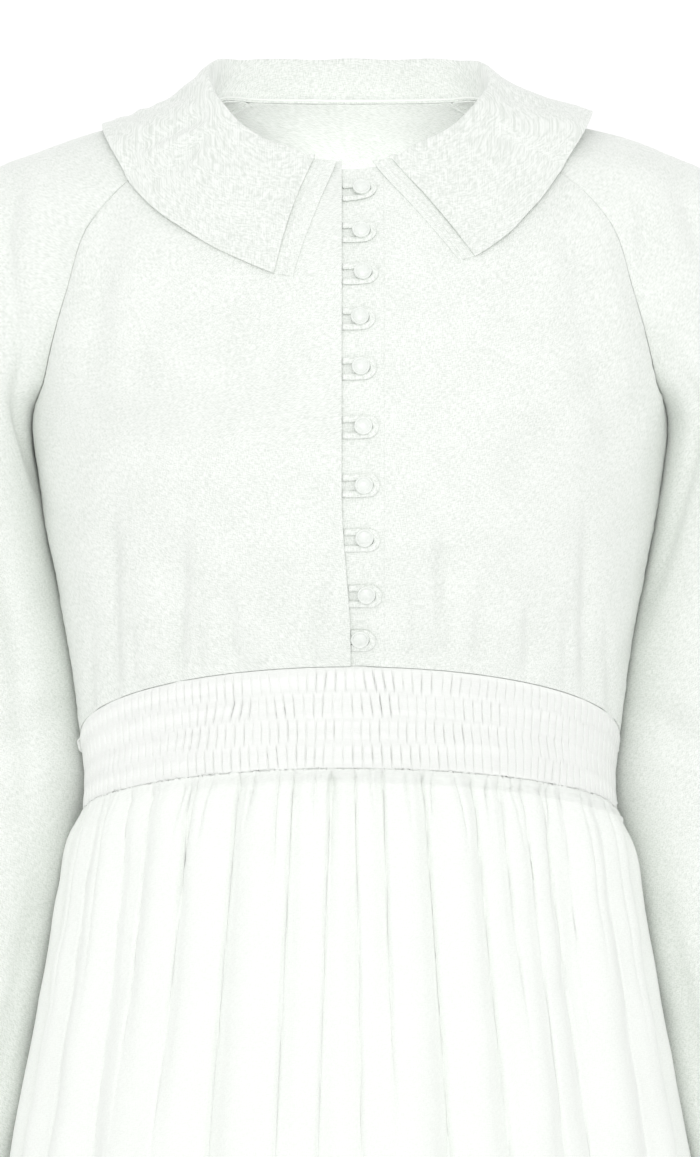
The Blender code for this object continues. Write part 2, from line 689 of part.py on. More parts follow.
def button(name, x, z, finish):
    """A turned shank button that stands on the stand: a raised rim round a low dome."""
    under = 2 * LAYER_GAP + LOOP_THICK
    profile = [
        (0.0, under + BUTTON_THICK),
        (BUTTON_RADIUS * 0.66, under + BUTTON_THICK * 0.66),
        (BUTTON_RADIUS * 0.84, under + BUTTON_THICK * 0.86),
        (BUTTON_RADIUS, under + BUTTON_THICK * 0.50),
        (SHANK_RADIUS, under),
        (SHANK_RADIUS, LAYER_GAP),
        (0.0, LAYER_GAP),
    ]
    mesh = bpy.data.meshes.new(name)
    corners = [(radius * MM, 0, height * MM) for radius, height in profile]
    mesh.from_pydata(corners, [(i, i + 1) for i in range(len(corners) - 1)], [])
    turned = place(name, mesh, finish)
    screw = turned.modifiers.new("Turned", "SCREW")
    screw.steps = screw.render_steps = BUTTON_SIDES
    screw.use_merge_vertices = True
    screw.merge_threshold = 0.00001
    point, *directions = stand_frame(x, seen_level(x, z, under + BUTTON_THICK * 0.66))
    rows = [(*row, at * MM) for row, at in zip(np.transpose(directions), point)]
    turned.matrix_world = Matrix([*rows, (0, 0, 0, 1)])
    return turned


def loop(name, x, z, finish):
    """A flattened cloth loop: out from the left front's edge, round the shank and back, lying on the stand."""
    edge = float(left_edge_x(way_at(z))) + 2 * SEAM_GAP
    middle = LOOP_OUTER_RADIUS - LOOP_WIDTH / 2
    turns = np.radians(np.linspace(90, -90, LOOP_BEND_STEPS + 1))
    radii = np.array([middle + LOOP_WIDTH / 2, middle - LOOP_WIDTH / 2])[:, None]
    bend = x + LOOP_AHEAD + radii * np.cos(turns)
    across = np.concatenate([[[edge]] * 2, bend, [[edge]] * 2], axis=1)
    upwards = np.concatenate([radii, radii * np.sin(turns), -radii], axis=1)
    point, _, up, out = stand_frame(across, np.full_like(across, z))
    cloth(name, point + up * upwards[..., None] + out * LAYER_GAP, finish, LOOP_THICK, outwards=True)


for old in list(bpy.data.objects):
    bpy.data.objects.remove(old)
GOWN = bpy.data.collections.new("Gown")
bpy.context.scene.collection.children.link(GOWN)

cotton = material("white_cotton", WHITE_COTTON, 0.85)
pearl = material("pearl_button", PEARL, 0.35)

yoke_ways = np.array([0, 0.11, 0.23, 0.36, 0.48, 0.60, 0.72, 0.83, 0.92, 1.0])
bodice_ways = np.concatenate([yoke_ways, [1.2, 1.4, 1.6, 1.8, 2.0]])
sleeve_ways = np.concatenate([yoke_ways, [1.09, 1.19, 1.30, 1.42, 1.55, 1.69, 1.84, 2.0]])

down = bodice_ways[:, None]
left_share = np.linspace(0, 1, BODICE_HALF_COLUMNS + 1)[None, :]
left_end = front_share(left_edge_x(down), down)
cloth("front_left", bodice(-1 + left_share * (left_end + 1), down, -1), cotton)
right_start = front_share(np.full_like(down, RIGHT_EDGE_X), down)
cloth("front_right", bodice(right_start + left_share * (1 - right_start), down, -1), cotton)

stand_x = np.linspace(STAND_INNER_X, STAND_OUTER_X, 5)[None, :]
stand_ways = np.concatenate([[0.03], bodice_ways[1:]])[:, None]
stand_x, stand_ways = np.broadcast_arrays(stand_x, stand_ways)
cloth("button_stand", stand_point(stand_x, stand_ways), cotton, TRIM_WALL)

back_share = np.linspace(1, -1, BACK_COLUMNS + 1)[None, :]
cloth("back", bodice(back_share, down, 1), cotton)

down = sleeve_ways[:, None]
round_arm = np.linspace(1, -1, SLEEVE_COLUMNS + 1)[None, :]
cloth("sleeve_right", sleeve(round_arm, down, RIGHT), cotton)
cloth("sleeve_left", sleeve(round_arm, down, LEFT)[:, ::-1], cotton)

around = np.linspace(1, -1, COLLAR_COLUMNS + 1)[None, :]
over = np.array([0.0, 0.18, 0.30, 0.44, 0.64, 0.84, 1.0])[:, None]
cloth("collar", collar(around, over), cotton, COLLAR_WALL)

across, share = np.broadcast_arrays(np.linspace(0, 1, 3)[None, :], np.linspace(0.02, 1, 7)[:, None])
left_strip = collar_strip(across, share, LEFT)
right_strip = collar_strip(across, share, RIGHT)[:, ::-1]
cloth("collar_strip_left", left_strip, cotton, TRIM_WALL, outwards=True)
cloth("collar_strip_right", right_strip, cotton, TRIM_WALL, outwards=True)

shirred_band("waistband_front", -1, cotton)
shirred_band("waistband_back", 1, cotton)

skirt_ways = np.array([0, 0.025, 0.08, 0.19, 0.38, 0.66, 1.0])[:, None]
skirt_angles = np.linspace(-90, 90, SKIRT_COLUMNS + 1)[None, :]
apart = np.array([0.0, 1.0, 0.0]) * (np.abs(skirt_angles) > 89.9)[..., None] * SEAM_GAP / 2
cloth("skirt_front", skirt(skirt_angles, skirt_ways, FRONT_GATHERS, -1) - apart, cotton)
cloth("skirt_back", (skirt(skirt_angles, skirt_ways, BACK_GATHERS, 1) + apart)[:, ::-1], cotton)

for number, (x, z, loop_drop) in enumerate(zip(*BUTTONS.values()), 1):
    loop(f"loop_{number:02d}", x, z - loop_drop, cotton)
    button(f"button_{number:02d}", x, z, pearl)
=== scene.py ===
"""A long white cotton gown with raglan sleeves, a flat pointed collar, a loop-and-button front, a shirred
waistband and a full gathered skirt, standing empty and filled out as if worn.

Each panel is a surface worked out on a grid from the gown's own tables, as fine cloth on the form of its solid.
Tables and sizes are in millimetres and are multiplied by MM, but for the studio's lamps and camera.
"""

import math

import bpy
import numpy as np
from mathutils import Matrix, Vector


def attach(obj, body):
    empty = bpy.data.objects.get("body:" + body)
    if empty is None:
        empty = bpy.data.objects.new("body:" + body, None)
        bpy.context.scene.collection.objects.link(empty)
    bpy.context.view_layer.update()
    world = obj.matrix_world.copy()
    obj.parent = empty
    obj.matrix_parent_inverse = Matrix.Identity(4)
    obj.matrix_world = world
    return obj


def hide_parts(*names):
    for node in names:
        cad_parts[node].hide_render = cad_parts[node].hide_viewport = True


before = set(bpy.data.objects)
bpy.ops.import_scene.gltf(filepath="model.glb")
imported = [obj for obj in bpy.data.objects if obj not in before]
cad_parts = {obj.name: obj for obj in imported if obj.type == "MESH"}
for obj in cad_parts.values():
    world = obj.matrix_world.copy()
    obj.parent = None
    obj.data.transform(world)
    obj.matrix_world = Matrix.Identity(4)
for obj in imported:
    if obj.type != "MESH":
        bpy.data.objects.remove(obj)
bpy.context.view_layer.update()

MM = 0.001

# Cloth and seams
WALL = 1.5
TRIM_WALL = 1.2
SEAM_GAP = 0.12
LAYER_GAP = 0.4
RIGHT, LEFT = 1, -1

# Front opening, as distances from the centre front
LEFT_EDGE_X = -5.2
LEFT_EDGE_DRIFT = 5.6
STAND_INNER_X = -17.0
RIGHT_EDGE_X = 21.5
STAND_OUTER_X = 28.0

# Buttons and their loops
SHANK_RADIUS = 1.5
DOME_TOP = 2.17
LOOP_OUTER_RADIUS = 7.1
LOOP_WIDTH = 4.1
LOOP_THICK = 1.3
LOOP_AHEAD = 2.8

# Waistband and skirt
ELASTIC_ROWS = 5


def table(names, rows):
    """A short table as one array for each named column."""
    values = np.array(rows, float)
    return {name: values[:, i] for i, name in enumerate(names.split())}


# The sleeve, from the neckline (0) past the underarm (1) to its hem (2). mid is the middle of the chord between
# its two seams, top the line over the shoulder and down the outside of the arm, fore the half section towards
# the front, and turn half the angle that the cloth takes round the arm, in degrees: 180 is a closed tube.
SLEEVE = table("way mid_x mid_y mid_z top_x top_y top_z fore_y fore_z turn", [
    (0, 67, 0, -9.5, 88, 2, -1, -51, -18, 60),
    (0.18, 127, 5, -33, 150, 8, -13, -54, -9, 72),
    (0.36, 165, 9, -72, 201, 12, -28, -64, -4, 84),
    (0.56, 182, 9, -122, 249, 14, -53, -66, -2, 98),
    (0.78, 196, 8, -175, 288, 16, -118, -69, -1, 136),
    (1, 205, 8, -225, 303, 16, -226, -70, 0, 180),
    (1.07, 199, 18, -261, 306, 20, -261, -71, 0, 180),
    (1.14, 191, 28, -298, 310, 28, -298, -72, 0, 180),
    (1.22, 181, 36, -339, 314, 36, -339, -73, 0, 180),
    (1.32, 172, 43, -391, 317, 43, -391, -74, 0, 180),
    (1.4, 166, 47, -433, 318, 47, -433, -74, 0, 180),
    (1.5, 175.5, 51, -485, 320, 51, -485, -73, 0, 180),
    (1.6, 186, 53, -537, 322, 53, -537, -71, 0, 180),
    (1.72, 197.5, 53, -599, 323, 53, -599, -67, 0, 180),
    (1.85, 210, 51, -667, 323, 51, -667, -61, 0, 180),
    (2, 225, 47, -745, 322, 47, -745, -54, 0, 180),
])

# The bodice at its centre front and centre back, from the neckline (0) past the underarm (1) to the waistband (2).
# turn is half the angle of the front or back section, in degrees: 90 meets the other half smoothly at the side.
BODICE = table("way front_y front_z back_y back_z turn", [
    (0, -64, -40, 56, 6, 60),
    (0.18, -84, -68, 72, -26, 68),
    (0.36, -101, -100, 86, -64, 76),
    (0.56, -115, -140, 97, -114, 82),
    (0.78, -125, -182, 104, -168, 87),
    (1, -131, -225, 107, -222, 90),
    (1.25, -133, -260, 107, -267, 90),
    (1.5, -129, -296, 105, -311, 90),
    (1.75, -120, -331, 101, -356, 90),
    (2, -107, -362.5, 97, -399.5, 90),
])

# The side seam below the underarm.
SIDE = table("way x y z", [
    (1, 205, 8, -225),
    (1.25, 198.5, 7, -269),
    (1.5, 189.5, 6, -315),
    (1.75, 181.5, 4, -362),
    (2, 175.5, 2, -407.5),
])

# The body's sections below the bodice. The band's front is arched, and the arch fades down the skirt.
SECTION_NAMES = "way half_width side_y side_z front_y front_z back_y back_z"
BAND = table(SECTION_NAMES, [
    (0, 175, 2, -408, -106.5, -363, 96.5, -400),
    (0.5, 171.5, 2, -434, -104.5, -395, 95, -428),
    (1, 172.5, 2, -459.5, -105, -426.5, 96, -456),
])
SKIRT = table(SECTION_NAMES, [
    (0, 173.5, 2, -460, -106, -427, 97, -456.5),
    (0.03, 183, 2, -477, -115, -444, 107, -473),
    (0.08, 190, 2, -512, -126, -482, 121, -509),
    (0.16, 201, 2, -575, -142, -550, 139, -573),
    (0.27, 220, 2, -676, -160, -658, 161, -675),
    (0.42, 246, 2, -826, -184, -817, 188, -826),
    (0.6, 279, 2, -1010, -214, -1007, 221, -1010),
    (0.8, 314, 2, -1215, -248, -1214, 256, -1215),
    (1, 343, 2, -1420, -276, -1420, 286, -1420),
])

# Gathers of the skirt: where each trough leaves the band and where it runs at the hem, as angles from the
# centre front in degrees, with its depths at both ends and how far down the skirt it has faded to nothing.
GATHER_NAMES = "top_angle hem_angle top_depth hem_depth ends_at"
FRONT_GATHERS = table(GATHER_NAMES, [
    (-80, -77, 3, 20, 2),
    (-66, -62, 3, 14, 2),
    (-54, -45, 5, 24, 2),
    (-47, -39, 5, 0, 0.3),
    (-36, -33, 4, 0, 0.35),
    (-24, -27, 5, 20, 2),
    (-12, -14, 5, 0, 0.45),
    (-4, -8, 4, 16, 2),
    (1, 4, 4, 15, 2),
    (7, 9, 6, 0, 0.3),
    (15.5, 21, 6, 26, 2),
    (26.5, 31, 5, 0, 0.5),
    (33, 36, 4, 0, 0.25),
    (39, 41, 4, 13, 2),
    (45, 50, 6, 26, 2),
    (51, 47, 5, 0, 0.28),
    (63, 61, 3, 15, 2),
    (79, 76, 3, 20, 2),
])
BACK_GATHERS = table(GATHER_NAMES, [
    (-79, -76, 3, 18, 2),
    (-67, -63, 4, 16, 2),
    (-55, -50, 5, 0, 0.4),
    (-43, -44, 5, 24, 2),
    (-33, -30, 4, 0, 0.35),
    (-23, -25, 5, 21, 2),
    (-12, -9, 5, 18, 2),
    (-3, 1, 4, 0, 0.45),
    (6, 8, 5, 22, 2),
    (17, 16, 5, 0, 0.35),
    (27, 26, 5, 19, 2),
    (38, 43, 5, 23, 2),
    (50, 52, 4, 0, 0.4),
    (60, 60, 4, 17, 2),
    (76, 77, 3, 20, 2),
])
# Half widths of the troughs in degrees, the power by which they deepen down the skirt, and how much the ones that
# fade would gain by the hem.
GATHER_WIDTH_TOP = 3.2
GATHER_WIDTH_HEM = 5.6
GATHER_GROWTH = 0.9
FADING_GAIN = 6.0

# Soft troughs of the bodice front: from one end to the other across the front, with half width and depth.
FRONT_FOLDS = table("x0 z0 x1 z1 half_width depth", [
    (-150, -52, -176, -235, 13, 4.5),
    (136, -44, 172, -245, 13, 5),
    (-108, -368, -119, -270, 9, 3),
    (-76, -364, -80, -310, 8, 2),
    (-46, -362, -38, -300, 7, 2.5),
    (56, -362, 63, -275, 9, 3),
    (84, -366, 88, -300, 8, 2),
    (118, -372, 122, -300, 9, 2.5),
    (158, -390, 152, -265, 9, 3),
    (-156, -392, -155, -260, 9, 3),
])

BACK_FOLDS = table("x0 z0 x1 z1 half_width depth", [
    (-150, -30, -174, -210, 14, 4),
    (146, -34, 172, -215, 14, 4.5),
    (-96, -404, -104, -310, 9, 3),
    (-30, -402, -24, -325, 9, 2.5),
    (44, -402, 50, -300, 9, 3),
    (108, -404, 112, -320, 9, 2.5),
])

# Long troughs of a sleeve: turn is the angle from the line down the outside of the arm, forwards positive.
SLEEVE_FOLDS = table("way0 turn0 way1 turn1 half_turn depth", [
    (0.42, 34, 1.02, 128, 13, 8),
    (0.95, 62, 1.8, 100, 16, 7),
    (1.05, 8, 1.9, 36, 15, 6),
    (0.55, -40, 1.3, -120, 15, 7),
    (1.1, -56, 2, -70, 17, 7),
    (1.3, 150, 1.45, 40, 14, 5),
])

# The collar, from its front edge round to the centre back. Positions on the yoke are a ring: 0 is the centre
# front, 1 the front raglan seam, 2 the shoulder line, 3 the back raglan seam and 4 the centre back. edge_way is
# how far down the yoke the outer edge lies, and roll_up and roll_out are where the cloth turns over.
COLLAR_NAMES = "round neck_ring edge_ring edge_way roll_up roll_out lift"
COLLAR = {
    LEFT: table(COLLAR_NAMES, [
        (0, 0.28, 0.2, 0.44, 3.5, 1, 2.2),
        (0.1, 0.42, 0.37, 0.378, 4, 1, 2.4),
        (0.2, 0.66, 0.62, 0.303, 5.5, 1, 2.6),
        (0.3, 1, 1, 0.242, 9, 2, 3),
        (0.39, 1.5, 1.5, 0.222, 16, 3.5, 4),
        (0.48, 2, 2, 0.212, 23, 5, 5),
        (0.57, 2.5, 2.5, 0.2, 26, 6, 4.2),
        (0.67, 3, 3, 0.19, 28, 7, 3.4),
        (0.83, 3.5, 3.5, 0.188, 29, 7.5, 3.2),
        (1, 4, 4, 0.19, 29.5, 8, 3.2),
    ]),
    RIGHT: table(COLLAR_NAMES, [
        (0, 0.31, 0.35, 0.395, 3.5, 1, 2.2),
        (0.1, 0.44, 0.48, 0.34, 4.5, 1, 2.4),
        (0.2, 0.66, 0.68, 0.268, 7, 1, 2.8),
        (0.3, 1, 1, 0.212, 11, 2, 4.5),
        (0.39, 1.5, 1.5, 0.2, 16, 2, 9),
        (0.48, 2, 2, 0.196, 20, 2, 12),
        (0.57, 2.5, 2.5, 0.194, 24, 4, 9),
        (0.67, 3, 3, 0.19, 27, 6.5, 5),
        (0.83, 3.5, 3.5, 0.188, 29, 7.5, 3.4),
        (1, 4, 4, 0.19, 29.5, 8, 3.2),
    ]),
}
# How far the fall bulges, how deep the roll is from front to back, and the power by which it flattens out.
COLLAR_BELLY = 2.5
ROLL_DEPTH = 4.5
ROLL_FALL = 3.2
# The folded strip that shows past each front edge of the collar: where its own free edge runs, as the ring at the
# neck and at the lower end and the way down to that end. Its lift off the yoke grows by a rise towards the neck.
COLLAR_STRIP = {
    LEFT: {"neck_ring": 0.10, "end_ring": 0.148, "end_way": 0.445},
    RIGHT: {"neck_ring": 0.165, "end_ring": 0.300, "end_way": 0.405},
}
STRIP_BESIDE = 0.012
STRIP_LIFT = 0.9
STRIP_NECK_RISE = 0.7

# The buttons' middles, and how far below each its loop hangs.
BUTTONS = table("x z loop_drop", [
    (7.3, -56.5, 1.6),
    (7, -85, 1.6),
    (8.1, -112, 1.6),
    (6.2, -141, 1.6),
    (6.8, -173, 1.4),
    (8.3, -211, 0.6),
    (8.7, -248.5, 0),
    (9, -282, 1),
    (10.2, -318, 0.3),
    (6.2, -346.5, 0),
])

# A button from its middle over the dome and the rim to its shank: distance from its axis, and height over its foot
BUTTON_PROFILE = table("out up", [
    (0, 2.15), (1.7, 2.0), (3.2, 1.55), (4.05, 1.20), (4.6, 1.75), (5.15, 2.05),
    (5.6, 1.60), (5.75, 0.9), (5.45, 0.35), (3.6, 0.1), (SHANK_RADIUS, 0.0),
])

# Finer folds than the solids carry, in the same columns as the tables above.
SMALL_FRONT_FOLDS = table("x0 z0 x1 z1 half_width depth", [
    (-25, -361, -12.5, -298, 2.6, 2.4),
    (-110, -380, -103, -250, 3.4, 3),
    (-137, -378, -140, -335, 3, 2),
    (-93, -370, -98, -325, 2.6, 1.6),
    (-75, -366, -75, -312, 2.8, 2.4),
    (-151, -384, -150, -250, 3.4, 2.8),
    (41, -358, 42, -310, 2.8, 2.6),
    (60, -360, 56, -268, 3, 2.8),
    (82, -364, 82, -318, 2.6, 2),
    (113, -370, 113, -320, 2.8, 2.2),
    (138, -378, 139, -325, 3, 2),
    (151, -386, 150, -258, 3.4, 2.8),
    (169, -398, 164, -330, 3.2, 2),
    (-168, -398, -166, -330, 3.2, 2),
    (-156, -58, -166, -182, 9, 2.4),
    (-118, -120, -150, -215, 12, 1.4),
    (150, -70, 168, -190, 10, 1.6),
])
# hand is 1 for the right sleeve, -1 for the left and 0 for both.
SMALL_SLEEVE_FOLDS = table("hand way0 turn0 way1 turn1 half_turn depth", [
    (-1, 0.54, 52, 0.76, 112, 7, 4.6),
    (-1, 0.66, 98, 1.12, 178, 7, 4.4),
    (-1, 1.02, 118, 1.52, 116, 7, 4),
    (1, 0.33, 52, 0.74, 124, 6, 3),
    (1, 0.76, 118, 1.24, 152, 7, 4),
    (1, 1.05, 92, 1.62, 66, 6, 2.4),
    (0, 0.95, 22, 1.5, 74, 7, 2.6),
    (0, 1.3, -20, 1.9, -10, 8, 2.6),
    (0, 0.8, -70, 1.2, -130, 7, 3),
    (0, 1.2, -110, 1.8, -92, 8, 3),
    (0, 1.5, 134, 1.96, 122, 7, 2.4),
    (0, 1.45, 12, 1.96, -4, 7, 2),
])
COLLAR_CREASES = table("place0 across0 place1 across1 half_width depth", [
    (-0.622, 0.36, -0.67, 1.02, 0.02, 3),
    (-0.655, 0.44, -0.7, 0.95, 0.016, -1.2),
    (-0.672, 0.52, -0.762, 0.84, 0.01, 2),
    (-0.745, 0.74, -0.738, 0.96, 0.011, 1.4),
    (-0.99, 0.6, -0.905, 0.95, 0.012, 0.9),
    (-0.54, 0.45, -0.55, 0.98, 0.022, 1.6),
    (-0.19, 0.2, -0.47, 0.01, 0.01, 1.1),
    (-0.35, 0.17, -0.48, 0.01, 0.009, 0.9),
    (0.3, 0.17, 0.43, 0.02, 0.01, 0.8),
    (0.56, 0.4, 0.58, 0.98, 0.022, 1.8),
    (0.65, 0.45, 0.72, 0.9, 0.018, 1),
    (0.9, 0.5, 0.82, 0.85, 0.018, 0.7),
])
SMALL_NAMES = "top_angle low_angle low_way depth half_width"
SMALL_GATHERS = table(SMALL_NAMES, [
    (-37.2, -37.8, 0.06, 2.8, 0.45),
    (-33.6, -36, 0.14, 3, 0.45),
    (-29.5, -31.5, 0.07, 2.4, 0.4),
    (-20, -21.5, 0.06, 2.4, 0.4),
    (-15, -15, 0.12, 3, 0.45),
    (-7.1, -7.4, 0.05, 2.8, 0.4),
    (-3.8, -3.8, 0.12, 3, 0.4),
    (4, 5, 0.05, 2.2, 0.35),
    (11.5, 12.5, 0.06, 2.6, 0.4),
    (17.8, 16.7, 0.06, 3, 0.45),
    (22, 24, 0.08, 2.6, 0.4),
    (30.4, 29, 0.05, 2.8, 0.4),
    (36, 37.5, 0.07, 2.4, 0.4),
    (47.4, 44, 0.14, 3.4, 0.55),
    (-62, -58, 0.2, 2.4, 1),
    (58, 56, 0.18, 2.4, 1),
    (70, 68, 0.22, 2.4, 1.1),
    (-73, -71, 0.22, 2.4, 1.1),
])
SMALL_BACK_GATHERS = table(SMALL_NAMES, [
    (-73, -70, 0.2, 2.4, 1),
    (-61, -58, 0.12, 2.4, 0.9),
    (-49, -50, 0.22, 2.6, 1),
    (-38, -37, 0.08, 2.2, 0.9),
    (-28, -29, 0.16, 2.4, 0.9),
    (-17, -17, 0.07, 2.2, 0.8),
    (-7, -6, 0.18, 2.4, 0.9),
    (2, 4, 0.06, 2.2, 0.8),
    (12, 11, 0.14, 2.4, 0.9),
    (22, 23, 0.08, 2.2, 0.9),
    (33, 33, 0.2, 2.6, 1),
    (45, 47, 0.1, 2.4, 0.9),
    (55, 55, 0.18, 2.4, 1),
    (68, 69, 0.14, 2.4, 1),
])

# Rows and columns of the panels' grids, with the front half under -1 and the back half under 1 where there are two
FRONT_GRID = (170, 84)
BACK_GRID = (104, 124)
SLEEVE_GRID = (80, 66, 130)
COLLAR_GRID = (54, 240)
BAND_GRID = {-1: (25, 1240), 1: (25, 460)}
SKIRT_GRID = {-1: (70, 640), 1: (58, 350)}

# How deep a seamed edge rolls under, the cloth's thicknesses, and how close a line of points lies inside each rim
SEAM_ROLL = 0.20
FINE_WALL = 1.0
COLLAR_FINE_WALL = 1.2
STRIP_WALL = 0.7
RIM_INSET = 0.25
# How far the stand lies under the right front where they meet, and where the ridge of each collar strip's fold is
STAND_FLUSH = 0.02
STRIP_RIDGE = {LEFT: 0.42, RIGHT: 0.55}
# The pitch of the threads, and for the slubs that run each way their size across and down and their pattern's shift
THREAD_PITCH = 0.5
SLUBS = ((0.5, 3.0, 0.0), (3.2, 0.55, 0.7))
# The waistband: its creases' pitch in front (-1) and behind (1), how proud it stands, how high its rows puff, its
# creases' depth and width, and how far the bodice and the skirt reach towards it
BAND_PITCH = {-1: 5.9, 1: 6.4}
BAND_PROUD = 1.1
PUFF_HIGH = 0.30
CREASE_DEEP = 2.4
CREASE_WIDE = 0.20
BAND_REACH = 0.15
# The skirt's folds: the crease along each trough, its share of the trough's depth, the soft hollow beside it, and
# how much the small gathers deepen
FOLD_CREASE = 2.2
FOLD_SHARE = 0.45
FOLD_HOLLOW = 1.7
GATHER_GAIN = 1.25
# Seam allowances: how far each reaches under its neighbour and how deep it lies
TUCK = (3.0, 1.2)
FRONT_TUCK = (2.5, 1.1)
BAND_TOP_TUCK = (3.0, 1.15)
BAND_FOOT_TUCK = (2.5, 0.9)
SKIRT_TUCK = (3.0, 1.3)

# The studio: the floor's level and half width in millimetres, and its lamps and camera in metres
FLOOR_Z = -1455
FLOOR_HALF = 4000
WORLD_LIGHT = 0.90
SEEN_SKY = 1.05
# The soft boxes: where each stands, what it faces, how wide it is, and its watts
LAMPS = (
    ("front_box", (-0.10, -4.5, 0.90), (0, 0, -0.35), 2.2, 47.0),
    ("back_box", (0.4, 4.8, 1.0), (0, 0, -0.5), 4.0, 70.0),
    ("neck_glow", (0, -0.010, -0.095), (0, 0.07, -0.065), 0.10, 0.104),
)
CAMERA_BACK = 3.7
CAMERA_Z = -0.307
SENSOR = 36.0
SEEN_WIDTH = 0.455
PHOTO_WIDE, PHOTO_HIGH = 700, 1157

# Each panel's flat cut as far as it shows: its width, length and area in metres, how it is held, and what it rests on
SHEETS = {
    "front_left": (0.27, 0.48, 0.080, "stretched", "button_stand sleeve_left back"),
    "front_right": (0.255, 0.48, 0.075, "stretched", "button_stand sleeve_right back"),
    "back": (0.50, 0.51, 0.170, "stretched", "sleeve_left sleeve_right"),
    "sleeve_left": (0.47, 0.885, 0.290, "hung", "front_left back"),
    "sleeve_right": (0.47, 0.885, 0.290, "hung", "front_right back"),
    "button_stand": (0.045, 0.337, 0.0151, "laid", "front_left front_right"),
    "collar": (0.785, 0.116, 0.057, "folded", "front_left front_right back sleeve_left sleeve_right"),
    "collar_strip_left": (0.019, 0.092, 0.0014, "laid", "front_left collar"),
    "collar_strip_right": (0.014, 0.094, 0.0011, "laid", "front_right collar"),
    "waistband_front": (0.60, 0.066, 0.0396, "gathered", "front_left front_right waistband_back"),
    "waistband_back": (0.55, 0.059, 0.0324, "gathered", "back waistband_front"),
    "skirt_front": (1.01, 1.01, 0.78, "gathered", "waistband_front skirt_back"),
    "skirt_back": (1.03, 0.99, 0.77, "gathered", "waistband_back skirt_front"),
}


def cubic(t, span, first, last, first_slope, last_slope):
    """The cubic between two values with these slopes, where t runs from 0 to 1 over a span."""
    return (
        first * (1 + 2 * t) * (1 - t) ** 2
        + last * t * t * (3 - 2 * t)
        + first_slope * span * t * (1 - t) ** 2
        + last_slope * span * t * t * (t - 1)
    )


def smooth(at, keys, values):
    """A cubic through a table's rows, with each row's slope taken from its neighbours."""
    at = np.clip(at, keys[0], keys[-1])
    low = np.clip(np.searchsorted(keys, at, side="right") - 1, 0, len(keys) - 2)
    slope = np.gradient(values, keys, axis=0)
    span = keys[low + 1] - keys[low]
    return cubic((at - keys[low]) / span, span, values[low], values[low + 1], slope[low], slope[low + 1])


def columns(rows, at, *names):
    """The named columns of a table at these places, side by side."""
    return np.stack([smooth(at, rows["way"], rows[name]) for name in names], axis=-1)


def step(low, high, at):
    """0 below low, 1 above high and smooth between."""
    t = np.clip((at - low) / (high - low), 0, 1)
    return t * t * (3 - 2 * t)


def bell(distance, width):
    """1 on a line and falling off on both sides of it within about this width."""
    return np.exp(-((distance / width) ** 2))


def unit(vectors):
    """The vectors at length 1."""
    return vectors / np.maximum(np.linalg.norm(vectors, axis=-1, keepdims=True), 1e-9)


def plain_sleeve(share, way):
    """A sleeve of the right side before its folds. share is 1 at the front seam, 0 outside the arm and -1 behind."""
    share, way = np.broadcast_arrays(share, way)
    mid = columns(SLEEVE, way, "mid_x", "mid_y", "mid_z")
    top = columns(SLEEVE, way, "top_x", "top_y", "top_z")
    fore = columns(SLEEVE, way, "fore_y", "fore_z")
    fore = np.concatenate([np.zeros_like(fore[..., :1]), fore], axis=-1)
    turn = np.radians(np.minimum(smooth(way, SLEEVE["way"], SLEEVE["turn"]), 180.0))
    angle = share * turn
    out = (np.cos(angle) - np.cos(turn)) / (1 - np.cos(turn))
    return mid + (top - mid) * out[..., None] + fore * np.sin(angle)[..., None]


def half_bodice(share, way, side):
    """The front (side -1) or back (side 1) before its folds. share runs from -1 at the left edge to 1 at the right."""
    share, way = np.broadcast_arrays(share, way)
    names = ("front_y", "front_z") if side < 0 else ("back_y", "back_z")
    centre = columns(BODICE, way, *names)
    raglan = plain_sleeve(np.full(way.shape, -float(side)), np.minimum(way, 1.0))
    seam = columns(SIDE, way, "x", "y", "z")
    edge = np.where((way <= 1)[..., None], raglan, seam)
    turn = np.radians(smooth(way, BODICE["way"], BODICE["turn"]))
    across = np.sin(share * turn) / np.sin(turn)
    down = ((1 - np.cos(share * turn)) / (1 - np.cos(turn)))[..., None]
    rest = centre + (edge[..., 1:] - centre) * down
    return np.concatenate([(edge[..., 0] * across)[..., None], rest], axis=-1)


def parting(way, side):
    """At the seam of the right sleeve: the way from the bodice to the sleeve, and along Y from front to back."""
    near = 0.98
    seam = half_bodice(np.ones_like(way), way, side)
    into_bodice = unit(half_bodice(np.full_like(way, near), way, side) - seam)
    into_sleeve = unit(
        plain_sleeve(np.full_like(way, -near * side), way)
        - plain_sleeve(np.full_like(way, -float(side)), way)
    )
    armpit = step(0.72, 0.95, way)[..., None]
    outwards = np.array([1.0, 0.0, 0.0])
    return unit(unit(into_sleeve - into_bodice) * (1 - armpit) + outwards * armpit)


def seam_move(way, side, for_sleeve):
    """How far an edge moves from the seam line: half the gap, away from each neighbour that it has there."""
    across = parting(np.minimum(way, 1.0), side) * (1 if for_sleeve else -1)
    beside_other = step(0.86, 1.0, way)[..., None]
    beside_first = 1.0 if for_sleeve else (1 - step(1.0, 1.2, way))[..., None]
    along_y = np.array([0.0, float(side), 0.0])
    return (across * beside_first + along_y * beside_other) * SEAM_GAP / 2


def fold_depth(x, z, folds):
    """The depth of straight troughs at points of a front: each is a bell across its line, faded at both ends."""
    depth = np.zeros_like(x)
    for x0, z0, x1, z1, half_width, deep in zip(*folds.values()):
        along = (z - z0) / (z1 - z0)
        line = x0 + (x1 - x0) * along
        ends = step(-0.12, 0.18, along) * (1 - step(0.62, 1.1, along))
        depth += deep * ends * bell(x - line, half_width)
    return depth


